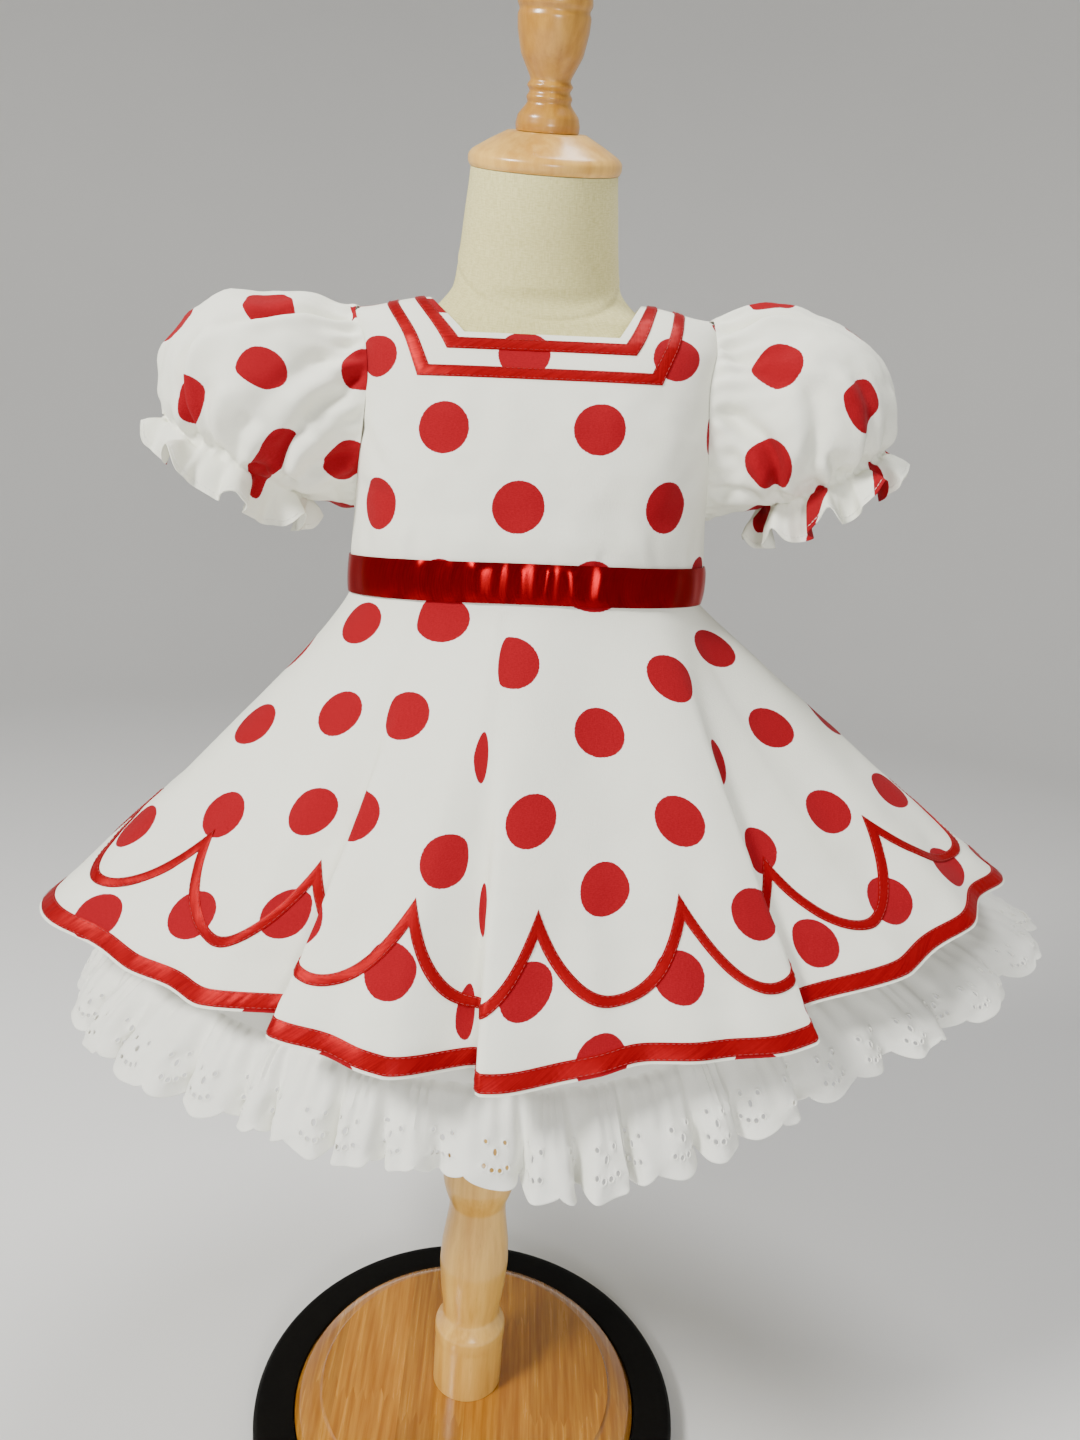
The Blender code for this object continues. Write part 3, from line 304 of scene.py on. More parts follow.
RIGHT_CREASES = [
    Crease(325, -0.3, 331, 2.6, 4.5, 3.2, 0, 0),
    Crease(315, -0.2, 256, 2.9, 6.5, 2.8, 3.4, 0),
    Crease(276, -0.2, 217, 5.0, 5.0, 3.8, 0, 0),
    Crease(290, 2.0, 246, 4.2, 6.0, 3.6, 0.5, 7.0),
    Crease(308, 2.7, 281, 5.9, 6.0, 2.2, 0, 0),
    Crease(224, 0.2, 215, 4.8, 5.0, 2.4, 0, 0),
    Crease(266, 4.0, 262, 6.1, 4.5, 2.2, 0, 0),
    Crease(350, -0.3, 356, 2.4, 4.5, 2.6, 0, 0),
    Crease(380, -0.3, 372, 3.0, 5.0, 2.8, 4, 0),
    Crease(408, -0.2, 440, 3.4, 6.5, 2.4, 0, 0),
    Crease(336, 4.0, 326, 6.1, 5.0, 2.4, 0, 0),
    Crease(372, 3.8, 366, 6.1, 5.0, 2.2, 0, 4),
    Crease(434, -0.2, 474, 2.8, 6.0, 2.6, 0, 0),
    Crease(418, 3.6, 430, 6.2, 5.5, 2.6, 0, 0),
    Crease(462, 3.0, 474, 6.0, 5.0, 2.2, 0, 0),
]
CREASE_REACH = 55.0
PLACE_STEP = 13.5

STRIP_WIDTH = 0.044
FINGER_WIDTH = 0.0032
BLOCK_LENGTH = 0.17
CAP_TILT = 16.4
CAP_CENTRE = Vector((0.0, -0.0145, 0.8045))
CAP_THICKNESS = 0.0170
GAP = 0.0003
Turn = namedtuple("Turn", "radius height")
BASE_RING = [
    Turn(0.139, 0.0),
    Turn(0.145, 0.004),
    Turn(0.145, 0.017),
    Turn(0.142, 0.020),
    Turn(0.1182, 0.020),
    Turn(0.1182, 0.0),
]
BASE_WOOD = [
    Turn(0.1176, 0.0),
    Turn(0.1176, 0.019),
    Turn(0.1140, 0.0248),
    Turn(0.1060, 0.0295),
    Turn(0.1005, 0.0312),
    Turn(0.0990, 0.0340),
]
POLE = [
    Turn(0.0233, 0.0),
    Turn(0.0233, 0.0350),
    Turn(0.0239, 0.0400),
    Turn(0.0239, 0.0460),
    Turn(0.0215, 0.0500),
    Turn(0.0188, 0.0560),
    Turn(0.0215, 0.0760),
    Turn(0.0230, 0.0960),
    Turn(0.0222, 0.1120),
    Turn(0.0190, 0.1350),
    Turn(0.0188, 0.1430),
    Turn(0.0225, 0.1540),
    Turn(0.0240, 0.1610),
    Turn(0.0236, 0.1760),
    Turn(0.0190, 0.1850),
    Turn(0.0175, 0.2600),
    Turn(0.0190, 0.3500),
    Turn(0.0190, 0.3697),
]
CAP = [
    Turn(0.0385, 0.0),
    Turn(0.0396, 0.0018),
    Turn(0.0396, 0.0052),
    Turn(0.0375, 0.0076),
    Turn(0.0290, 0.0125),
    Turn(0.0200, 0.0170),
]
FINIAL = [
    Turn(0.0160, 0.0),
    Turn(0.0164, 0.0030),
    Turn(0.0154, 0.0070),
    Turn(0.0108, 0.0125),
    Turn(0.0117, 0.0150),
    Turn(0.0100, 0.0175),
    Turn(0.0117, 0.0200),
    Turn(0.0100, 0.0222),
    Turn(0.0106, 0.0240),
    Turn(0.0154, 0.0330),
    Turn(0.0176, 0.0430),
    Turn(0.0180, 0.0490),
    Turn(0.0170, 0.0515),
    Turn(0.0184, 0.0540),
    Turn(0.0178, 0.0600),
    Turn(0.0140, 0.0670),
    Turn(0.0070, 0.0710),
]

# How far each piece's cloth is uneven: the size and height of its bumps, and their seed
NOISE_WAVES = 14
Bump = namedtuple("Bump", "size height seed")
BUMPS = {
    "skirt_front": [Bump(0.045, 0.0007, 3), Bump(0.018, 0.00025, 5)],
    "skirt_back": [Bump(0.045, 0.0007, 4), Bump(0.018, 0.00025, 5)],
    "bodice_front": [Bump(0.035, 0.0006, 31), Bump(0.014, 0.00018, 33)],
    "bodice_back": [Bump(0.035, 0.0006, 32), Bump(0.014, 0.00018, 33)],
    "sleeve_left": [Bump(0.030, 0.0009, 52), Bump(0.012, 0.0003, 54)],
    "sleeve_right": [Bump(0.030, 0.0009, 53), Bump(0.012, 0.0003, 55)],
    "eyelet_ruffle_front": [Bump(0.013, 0.0006, 21)],
    "eyelet_ruffle_back": [Bump(0.013, 0.0006, 22)],
    "ribbon": [Bump(0.008, 0.00028, 11)],
}

# Thickness of the cloths
COTTON = 0.0007
FINE_COTTON = 0.0006
EYELET_COTTON = 0.0005
SASH_SATIN = 0.0005
RIBBON_SATIN = 0.00035

# First azimuth of each half
START = {"front": -90.0, "back": -270.0}

# The printed dots: a square lattice turned by half a right angle, and how far from a dot's middle its
# red and its pale rim end. Each row says where the lattice sits on a piece's flat points: its shift
# across and down, and its turn in degrees.
DOT_SPACING = 0.0550
RED_END = (0.01345, 0.01325)
RIM_END = (0.01410, 0.01385)
Print = namedtuple("Print", "across down turn")
PRINTS = {
    "bodice_front": Print(0.0685, 0.0269, 1.4),
    "bodice_back": Print(0.011, 0.017, 0.0),
    "skirt_front": Print(0.0531, 0.0336, -7.7),
    "skirt_back": Print(0.015, 0.008, 0.0),
    "sleeve_left": Print(0.0234, 0.0088, 37.2),
    "sleeve_right": Print(0.0117, 0.0537, 46.8),
}


def cubic(before, start, end, after, part):
    """Catmull-Rom value between start and end."""
    slope_in = (end - before) / 2
    slope_out = (after - start) / 2
    square = part * part
    cube = square * part
    return (
        start * (2 * cube - 3 * square + 1)
        + slope_in * (cube - 2 * square + part)
        + end * (3 * square - 2 * cube)
        + slope_out * (cube - square)
    )


def read(rows, column, place, ring=False):
    """A column of a table at places on its first column, smooth between rows."""
    keys = np.array([row[0] for row in rows], float)
    values = np.array([getattr(row, column) for row in rows], float)
    last = len(keys) - 1
    place = np.clip(np.asarray(place, float), keys[0], keys[-1])
    low = np.clip(np.searchsorted(keys, place, side="right") - 1, 0, last - 1)
    part = (place - keys[low]) / (keys[low + 1] - keys[low])
    before = np.where(low > 0, values[low - 1], values[-2] if ring else values[0])
    after = np.where(low + 2 <= last, values[np.minimum(low + 2, last)], values[1] if ring else values[-1])
    return cubic(before, values[low], values[low + 1], after, part)


def ramp(value, start, end):
    """How far values are on their way from start to end, from 0 to 1 with soft ends."""
    part = np.clip((value - start) / (end - start), 0.0, 1.0)
    return part * part * (3 - 2 * part)


def xyz(x, y, z):
    """Points from their three parts."""
    return np.stack(np.broadcast_arrays(x, y, z), axis=-1).astype(float)


def polar(azimuth, reach, height):
    """Points at an azimuth, a distance from the axis and a height."""
    angle = np.radians(azimuth)
    return xyz(reach * np.sin(angle), -reach * np.cos(angle), height)


def hang(points):
    """Move upright, even points of the dress or the torso to where they hang."""
    x, z = points[..., 0], points[..., 2]
    slope = HANG_SLOPE * ramp(z, HANG_NONE_ABOVE, HANG_FULL_BELOW)
    sway = SWAY * ramp(z, SWAY_LOW, SWAY_FULL) * ramp(z, SWAY_HIGH, SWAY_FULL_TOP)
    side = np.abs(x)
    fall = SHOULDER_FALL * ramp(side, SHOULDER_FALL_START, SHOULDER_FALL_FULL)
    fall = fall * ramp(side, SHOULDER_FALL_END, SHOULDER_FALL_FULL)
    fall = fall * ramp(z, SHOULDER_FALL_LOW, SHOULDER_SEAM)
    return points + xyz(sway, 0.0, slope * x - fall)


def columns_at(rows, place, ring=False):
    """One row with every column of a table at places on its first column."""
    columns = rows[0]._fields[1:]
    return rows[0]._replace(**{column: read(rows, column, place, ring) for column in columns})


def reach_of(level, azimuth):
    """Distance from the axis to a level's outline at an azimuth."""
    side = np.abs(np.sin(np.radians(azimuth))) / level.half_width
    cosine = np.cos(np.radians(azimuth))
    depth = np.abs(cosine) / np.where(cosine > 0, level.front, level.back)
    power = level.squareness
    return (side ** power + depth ** power) ** (-1 / power)


def unit(vectors):
    """Vectors brought to a length of 1."""
    return vectors / np.maximum(np.linalg.norm(vectors, axis=-1, keepdims=True), 1e-12)


def close(points):
    """A grid whose first column is repeated as its last."""
    return np.concatenate([points, points[:, :1]], 1)


def bell(value):
    """1 at 0, and falling to 0 on both sides."""
    return np.exp(-value ** 2)


def normals_of(points, closed=False, outward=1):
    """A unit normal for each point of a grid."""
    if closed:
        across = np.roll(points, -1, 1) - np.roll(points, 1, 1)
    else:
        across = np.gradient(points, axis=1)
    return unit(np.cross(np.gradient(points, axis=0), across) * outward)


def lengths(points, axis):
    """Running length along an axis of a grid, from 0."""
    steps = np.linalg.norm(np.diff(points, axis=axis), axis=-1)
    total = np.cumsum(steps, axis=axis)
    return np.concatenate([np.zeros_like(np.take(total, [0], axis)), total], axis)


def run_flat(points):
    """Flat points of a grid: its running lengths across and down."""
    return np.stack([lengths(points, 1), lengths(points, 0)], -1)


def noise(places, size, seed):
    """Smooth noise of about -1 to 1 at points, with bumps of about a size: a sum of fixed waves."""
    chance = np.random.default_rng(seed)
    total = np.zeros(places.shape[:-1])
    for _ in range(NOISE_WAVES):
        way = chance.normal(size=places.shape[-1])
        way *= 2 * math.pi / (size * chance.uniform(0.7, 1.6)) / np.linalg.norm(way)
        total += np.sin(places @ way + chance.uniform(0, 2 * math.pi))
    return total / math.sqrt(NOISE_WAVES / 2) / 1.6


def uneven(name, places):
    """How far a piece's uneven cloth stands out at places."""
    return sum(noise(places, bump.size, bump.seed) * bump.height for bump in BUMPS[name])


# Each piece by its node's name, and its width and length as it is cut, in metres
PIECES = {}
CUT = {}


def add_mesh(name, points, faces, material, corners=None, smooth=50):
    """One piece from points and faces, with a flat point for each face corner, kept under its
    node's name. Its own name ends in what it is made of."""
    mesh = bpy.data.meshes.new(name + "_" + material.name)
    mesh.from_pydata(points.tolist(), [], [tuple(face) for face in faces])
    if corners is not None:
        place = mesh.attributes.new("flat", "FLOAT_VECTOR", "CORNER")
        place.data.foreach_set("vector", np.ascontiguousarray(corners, dtype=np.float32).ravel())
    mesh.shade_smooth()
    if smooth:
        mesh.set_sharp_from_angle(angle=math.radians(smooth))
    mesh.materials.append(material)
    item = bpy.data.objects.new(mesh.name, mesh)
    bpy.context.scene.collection.objects.link(item)
    PIECES[name] = item
    return item


def shell_faces(faces, count):
    """Outer, inner and edge faces of a shell, from its outer faces and its number of points."""
    faces = np.asarray(faces)
    starts = faces.ravel()
    ends = np.roll(faces, -1, axis=1).ravel()
    keys = starts * count + ends
    open_edge = ~np.isin(keys, ends * count + starts)
    rim = np.stack([ends, starts, starts + count, ends + count], 1)[open_edge]
    inner = faces[:, ::-1] + count
    return faces, inner, rim


def add_shell(name, outer, facing, faces, thickness, material, flat, corner_flat=None):
    """A closed piece of cloth: outer points, their normals, outer faces and flat points."""
    points = np.concatenate([outer, outer - facing * thickness])
    top, low, rim = shell_faces(faces, len(outer))
    both = np.concatenate([flat, flat])
    corners = both[top] if corner_flat is None else corner_flat
    corners = [corners.reshape(-1, 3), corners[:, ::-1].reshape(-1, 3), both[rim.ravel()]]
    everything = top.tolist() + low.tolist() + rim.tolist()
    add_mesh(name, hang(points), everything, material, np.concatenate(corners))


def grid_faces(rows, columns, closed=False, outward=1, missing=None):
    """Faces of a grid, without the missing cells."""
    row, column = np.mgrid[0:rows - 1, 0:columns if closed else columns - 1]
    if missing is not None:
        keep = ~missing
        row, column = row[keep], column[keep]
    row, column = row.ravel(), column.ravel()
    right = (column + 1) % columns
    faces = np.stack([
        row * columns + column,
        (row + 1) * columns + column,
        (row + 1) * columns + right,
        row * columns + right,
    ], 1)
    return faces if outward > 0 else faces[:, ::-1]


def cell_corners(grid):
    """The four corners of each cell of a grid, in the order of grid_faces."""
    corners = np.stack([grid[:-1, :-1], grid[1:, :-1], grid[1:, 1:], grid[:-1, 1:]], 2)
    return corners.reshape(-1, 4, grid.shape[-1])


def cloth(name, points, thickness, material, flat, closed=False, outward=1, missing=None, facing=None):
    """A closed piece of cloth from a grid of outer points and a grid of flat points."""
    rows, columns = points.shape[:2]
    facing = normals_of(points, closed, outward) if facing is None else facing
    faces = grid_faces(rows, columns, closed, outward, missing)
    outer = points.reshape(-1, 3)
    normals = facing.reshape(-1, 3)
    flat = xyz(flat[..., 0], flat[..., 1], 0.0)
    corner_flat = None
    if closed:
        corner_flat = cell_corners(flat)
        if outward < 0:
            corner_flat = corner_flat[:, ::-1]
        flat = flat[:, :columns]
    flat = flat.reshape(-1, 3)
    if missing is not None:
        used = np.unique(faces)
        place = np.full(len(outer), -1)
        place[used] = np.arange(len(used))
        faces = place[faces]
        outer, normals, flat = outer[used], normals[used], flat[used]
    add_shell(name, outer, normals, faces, thickness, material, flat, corner_flat)


def printed(name, flat):
    """Flat points moved and turned to where the print's lattice lies on a piece."""
    row = PRINTS[name]
    turn = math.radians(row.turn)
    across = flat[..., 0] * math.cos(turn) - flat[..., 1] * math.sin(turn) - row.across
    down = flat[..., 0] * math.sin(turn) + flat[..., 1] * math.cos(turn) - row.down
    return np.stack([across, down], -1)


class Shader:
    """Builds the node tree of one material."""

    def __init__(self, name):
        self.material = bpy.data.materials.new(name)
        self.material.use_nodes = True
        self.tree = self.material.node_tree
        self.tree.nodes.clear()
        self.bsdf = self.node("BsdfPrincipled")
        out = self.tree.nodes.new("ShaderNodeOutputMaterial")
        self.tree.links.new(self.bsdf.outputs[0], out.inputs["Surface"])

    def node(self, kind, inputs=None, **settings):
        item = self.tree.nodes.new("ShaderNode" + kind)
        for key, value in settings.items():
            setattr(item, key, value)
        self.put(item, inputs or {})
        return item

    def put(self, item, inputs):
        for key, value in inputs.items():
            if isinstance(value, bpy.types.NodeSocket):
                self.tree.links.new(value, item.inputs[key])
            elif isinstance(value, bpy.types.Node):
                self.tree.links.new(value.outputs[0], item.inputs[key])
            else:
                item.inputs[key].default_value = value

    def maths(self, operation, first, second=0.0, third=0.0):
        return self.node("Math", {0: first, 1: second, 2: third}, operation=operation)

    def step(self, value, start, end):
        """0 at start and 1 at end, soft between."""
        return self.node("MapRange", {0: value, 1: start, 2: end}, interpolation_type="SMOOTHSTEP")

    def mix(self, part, first, second):
        item = self.node("Mix", data_type="RGBA")
        for index, value in ((0, part), (6, first), (7, second)):
            self.put(item, {index: value})
        return item.outputs[2]

    def flat(self):
        """The flat point, in metres."""
        return self.node("Attribute", attribute_name="flat").outputs["Vector"]

    def stretched(self, vector, scale):
        return self.node("VectorMath", {0: vector, 1: scale}, operation="MULTIPLY")

    def noise(self, vector, scale, detail=2.0, rough=0.5):
        return self.node("TexNoise", {"Vector": vector, "Scale": scale, "Detail": detail, "Roughness": rough})

    def grain(self, vector, scale, detail=2.0, rough=0.5):
        """Noise drawn out along some axes."""
        return self.noise(self.stretched(vector, scale), 1.0, detail, rough)

    def bump(self, height, distance, strength):
        return self.node("Bump", {"Height": height, "Distance": distance, "Strength": strength})

    def place(self):
        """The place on the object itself."""
        return self.node("TexCoord").outputs["Object"]

    def surface(self, inputs):
        """Put inputs on the surface, and give the material."""
        self.put(self.bsdf, inputs)
        return self.material


def colour(red, green, blue):
    """A linear colour from three 0 to 255 screen values."""
    values = []
    for value in (red, green, blue):
        part = value / 255
        values.append(part / 12.92 if part <= 0.04045 else ((part + 0.055) / 1.055) ** 2.4)
    return (*values, 1.0)


def weave(shader, vector, slub):
    """Height of a plain weave with slubs that run both ways."""
    along = shader.grain(vector, (260.0, 2600.0, 1.0))
    down = shader.grain(vector, (2600.0, 260.0, 1.0))
    both = shader.maths("ADD", along, down)
    loose = shader.noise(vector, 60.0, 3.0)
    return shader.maths("MULTIPLY_ADD", loose, slub, both)


def dot_material():
    """White cotton printed with red dots, each with a thin pale rim."""
    shader = Shader("dotted_cotton_look")
    flat = shader.flat()
    turned = shader.node("VectorRotate", {"Vector": flat, "Angle": math.radians(45)}, rotation_type="Z_AXIS")
    turned = shader.node("SeparateXYZ", {0: turned})
    squares = []
    for axis in (0, 1):
        cells = shader.maths("DIVIDE", turned.outputs[axis], DOT_SPACING)
        offset = shader.maths("SUBTRACT", cells, shader.maths("ROUND", cells))
        squares.append(shader.maths("POWER", shader.maths("ABSOLUTE", offset), 2.0))
    distance = shader.maths("MULTIPLY", shader.maths("SQRT", shader.maths("ADD", *squares)), DOT_SPACING)
    rough_edge = shader.noise(flat, 900.0, 1.0)
    distance = shader.maths("MULTIPLY_ADD", rough_edge, 0.0006, distance)
    inside = shader.step(distance, *RED_END)
    rim = shader.step(distance, *RIM_END)
    height = weave(shader, flat, 0.7)
    print_tone = shader.step(shader.grain(flat, (700.0, 2200.0, 1.0), 3.0), 0.30, 0.75)
    red = shader.mix(print_tone, colour(140, 7, 20), colour(153, 12, 27))
    soft = shader.noise(flat, 22.0, 3.0)
    white = shader.mix(soft, colour(238, 238, 223), colour(242, 243, 230))
    ground = shader.mix(rim, white, colour(243, 232, 228))
    base = shader.mix(inside, ground, red)
    return shader.surface({
        "Base Color": base,
        "Roughness": 0.85,
        "Sheen Weight": 0.03,
        "Specular IOR Level": 0.12,
        "Normal": shader.bump(height, 0.00020, 0.65),
    })


def satin_material(name, dark, light, metal, rough, lean, relief):
    """Red satin: fine ribs across it, a shine drawn out along the ribs, and some relief."""
    shader = Shader(name)
    flat = shader.flat()
    ribs = shader.grain(flat, (2600.0, 160.0, 1.0))
    soft = shader.grain(flat, (110.0, 60.0, 1.0))
    height = shader.maths("MULTIPLY_ADD", soft, 1.5, ribs)
    tone = shader.step(shader.grain(flat, (1500.0, 90.0, 1.0)), 0.25, 0.8)
    return shader.surface({
        "Base Color": shader.mix(tone, dark, light),
        "Metallic": metal,
        "Roughness": rough,
        "Anisotropic": lean,
        "Anisotropic Rotation": 0.25,
        "Specular IOR Level": 0.25,
        "Specular Tint": (1.0, 0.25, 0.22, 1.0),
        "Normal": shader.bump(height, 0.00010, relief),
    })


def white_material():
    """Plain white cotton of the underskirt and the ruffle."""
    shader = Shader("white_cotton_look")
    flat = shader.flat()
    height = weave(shader, flat, 0.8)
    soft = shader.noise(flat, 35.0, 3.0)
    return shader.surface({
        "Base Color": shader.mix(soft, colour(238, 238, 228), colour(243, 243, 235)),
        "Roughness": 0.85,
        "Sheen Weight": 0.12,
        "Specular IOR Level": 0.2,
        "Normal": shader.bump(height, 0.00016, 0.5),
    })


def thread_material(name, tone, shine):
    """Sewing or embroidery thread."""
    shader = Shader(name)
    place = shader.place()
    twist = shader.noise(place, 4200.0, 1.0)
    return shader.surface({
        "Base Color": tone,
        "Roughness": shine,
        "Sheen Weight": 0.15,
        "Normal": shader.bump(twist, 0.0001, 0.5),
    })


def linen_material():
    """Natural linen stretched over the form: an even open weave with slubs."""
    shader = Shader("linen_look")
    flat = shader.flat()
    across = shader.grain(flat, (180.0, 1500.0, 1.0), 3.0)
    down = shader.grain(flat, (1500.0, 180.0, 1.0), 3.0)
    threads = shader.maths("ADD", across, down)
    tone = shader.step(threads, 0.70, 1.30)
    return shader.surface({
        "Base Color": shader.mix(tone, colour(208, 199, 134), colour(230, 222, 160)),
        "Roughness": 0.9,
        "Sheen Weight": 0.15,
        "Specular IOR Level": 0.2,
        "Normal": shader.bump(threads, 0.00035, 0.7),
    })


def wood_material(name, dark, light, across):
    """Lacquered pale wood. across stretches the grain: small along its length."""
    shader = Shader(name)
    place = shader.place()
    grain = shader.grain(place, across, 5.0, 0.62)
    rings = shader.grain(place, tuple(value * 0.22 for value in across), 3.0)
    pores = shader.grain(place, tuple(value * 3.2 for value in across))
    tone = shader.maths("MULTIPLY_ADD", rings, 0.6, shader.maths("MULTIPLY", grain, 0.6))
    base = shader.mix(shader.step(tone, 0.38, 0.82), dark, light)
    pore_tone = tuple(value * 0.55 for value in dark[:3]) + (1.0,)
    base = shader.mix(shader.maths("MULTIPLY", shader.step(pores, 0.66, 0.80), 0.35), base, pore_tone)
    return shader.surface({
        "Base Color": base,
        "Roughness": shader.maths("MULTIPLY_ADD", grain, 0.15, 0.24),
        "Specular IOR Level": 0.5,
        "Coat Weight": 0.35,
        "Coat Roughness": 0.18,
        "Normal": shader.bump(grain, 0.00025, 0.25),
    })


def base_material():
    """Lacquered strips of wood side by side, each of pieces joined end to end with fingers."""
    shader = Shader("laid_wood_look")
    place = shader.place()
    parts = shader.node("SeparateXYZ", {0: place})
    strip = shader.maths("DIVIDE", parts.outputs[0], STRIP_WIDTH)
    number = shader.maths("FLOOR", strip)
    shift = shader.node("TexWhiteNoise", {"W": number}, noise_dimensions="1D")
    fingers = shader.maths("PINGPONG", parts.outputs[0], FINGER_WIDTH)
    along = shader.maths("MULTIPLY_ADD", fingers, 3.2, parts.outputs[1])
    along = shader.maths("MULTIPLY_ADD", shift, 0.20, along)
    block = shader.maths("FLOOR", shader.maths("DIVIDE", along, BLOCK_LENGTH))
    key = shader.maths("MULTIPLY_ADD", number, 7.31, block)
    tone = shader.node("TexWhiteNoise", {"W": key}, noise_dimensions="1D")
    moved = shader.node("VectorMath", {0: place, 1: tone.outputs["Color"]}, operation="ADD")
    grain = shader.grain(moved.outputs[0], (260.0, 11.0, 60.0), 5.0, 0.6)
    base = shader.mix(shader.step(grain, 0.30, 0.75), colour(160, 98, 24), colour(202, 140, 50))
    shade = shader.maths("MULTIPLY_ADD", tone.outputs[0], 0.30, 0.80)
    base = shader.node("VectorMath", {0: base, "Scale": shade}, operation="SCALE")
    return shader.surface({
        "Base Color": base.outputs[0],
        "Roughness": shader.maths("MULTIPLY_ADD", grain, 0.12, 0.20),
        "Coat Weight": 0.5,
        "Coat Roughness": 0.12,
        "Normal": shader.bump(grain, 0.0002, 0.2),
    })


def black_material():
    """Satin black paint with faint unevenness."""
    shader = Shader("black_look")
    place = shader.place()
    fine = shader.noise(place, 420.0, 3.0)
    wide = shader.noise(place, 30.0, 2.0)
    return shader.surface({
        "Base Color": shader.mix(wide, colour(5, 4, 3), colour(11, 9, 6)),
        "Roughness": shader.maths("MULTIPLY_ADD", fine, 0.20, 0.48),
        "Specular IOR Level": 0.12,
        "Normal": shader.bump(fine, 0.0002, 0.3),
    })


DOTTED = dot_material()
SATIN = satin_material("satin_look", colour(112, 1, 7), colour(136, 3, 12), 0.75, 0.23, 0.60, 0.15)
RIBBON = satin_material("ribbon_look", colour(130, 2, 10), colour(160, 5, 17), 0.25, 0.42, 0.40, 0.5)
WHITE = white_material()
LINEN = linen_material()
RED_THREAD = thread_material("red_thread", colour(160, 8, 14), 0.5)
WHITE_THREAD = thread_material("white_thread", colour(243, 241, 236), 0.6)
TURNED_WOOD = wood_material("turned_wood", colour(204, 148, 60), colour(236, 188, 96), (210.0, 210.0, 14.0))
# The finial is the same wood as the pole and the cap; its darker tones are painted shade.
FINIAL_SHADED_WOOD = wood_material("finial_wood_painted_shade", colour(166, 112, 34), colour(202, 149, 58), (230.0, 230.0, 16.0))
BASE_WOOD_LOOK = base_material()
BLACK = black_material()


# Waist
def waist_height(azimuth):
    return WAIST_HEIGHT + WAIST_BELLY_RISE * np.cos(np.radians(azimuth))


def waist_reach(azimuth):
    return reach_of(BODICE[0], azimuth)


def wrap(azimuth):
    return (np.asarray(azimuth, float) + 180) % 360 - 180


# Skirt
def fold_shift(azimuth, part):
    """Inward and sideways shift of the skirt's cloth at an azimuth and a part of its length."""
    inward = 0.0
    sideways = 0.0
    for fold in FOLDS + CREASES:
        offset = wrap(azimuth - fold.azimuth) / fold.half_angle
        inside = np.abs(offset) < 1
        down = np.clip((part - fold.start) / (1 - fold.start), 0.0, 1.0)
        down = down * down * (1 + FOLD_EASE) / (down + FOLD_EASE)
        amount = np.where(inside, fold.depth * down * np.cos(offset * math.pi / 2) ** 2, 0.0)
        inward = inward + amount
        sideways = sideways + amount * fold.lean
    return inward, sideways


def skirt_surface(azimuth, part):
    """Outer points of the skirt at azimuths and parts of the way from the sash to the hem."""
    azimuth = wrap(azimuth)
    hem = columns_at(HEM, azimuth, ring=True)
    low = hem.height - HANG_SLOPE * hem.reach * np.sin(np.radians(azimuth))
    inward, sideways = fold_shift(azimuth, part)
    start = waist_reach(azimuth)
    top = waist_height(azimuth) - SKIRT_TOP
    reach = start + (hem.reach - start) * part ** hem.flare - inward
    height = top + (low - top) * part
    return polar(azimuth, reach, height) + polar(azimuth + 90, sideways, 0)


def skirt_grid(side):
    """Azimuths, parts and outer points of a half of the skirt."""
    columns, rows = SKIRT_GRID[side]
    # Columns crowd where the cloth is folded
    fine = np.linspace(START[side], START[side] + 180, 2400)
    hem = lengths(skirt_surface(fine, CROWD_PART)[None], 1)[0]
    azimuths = np.interp(np.linspace(0, hem[-1], columns + 1), hem, fine)
    parts = np.linspace(0.0, 1.0, rows)
    points = skirt_surface(azimuths[None, :], parts[:, None])
    bumps = uneven("skirt_" + side, points) * parts[:, None]
    return azimuths, parts, points + normals_of(points) * bumps[..., None]


def skirt_flat(points, parts, azimuths):
    """Flat points of a half of the skirt: a sector of a ring."""
    share = lengths(points, 1)
    share = share / share[:, -1:]
    middle = (azimuths[0] + azimuths[-1]) / 2
    angle = (share - 0.5) * SECTOR
    for fold in HIDDEN:
        place = middle + wrap(fold.azimuth - middle)
        passed = ramp(azimuths, place - HIDDEN_HALF_WIDTH, place + HIDDEN_HALF_WIDTH)
        angle = angle + fold.degrees * (passed - (1 if place < middle else 0))
    angle = np.radians(angle)
    radius = CUT_WAIST + CUT_LENGTH * parts[:, None]
    return np.stack([radius * np.sin(angle), -radius * np.cos(angle)], -1)


def along_path(places, run, line):
    """Points of a line at running places."""
    return np.stack([np.interp(places, run, values) for values in line.T], -1)


class Sheet:
    """A grid of points on a half of the skirt that can be read at any azimuth and part."""

    def __init__(self, azimuths, parts, points):
        self.azimuths = azimuths
        self.parts = parts
        self.points = points
        self.facing = normals_of(points)

    def at(self, azimuth, part):
        column = np.interp(azimuth, self.azimuths, np.arange(len(self.azimuths)))
        row = np.interp(part, self.parts, np.arange(len(self.parts)))
        left = np.clip(column.astype(int), 0, len(self.azimuths) - 2)
        top = np.clip(row.astype(int), 0, len(self.parts) - 2)
        across = (column - left)[..., None]
        down = (row - top)[..., None]
        found = []
        for grid in (self.points, self.facing):
            high = grid[top, left] * (1 - across) + grid[top, left + 1] * across
            low = grid[top + 1, left] * (1 - across) + grid[top + 1, left + 1] * across
            found.append(high * (1 - down) + low * down)
        return found[0], unit(found[1])


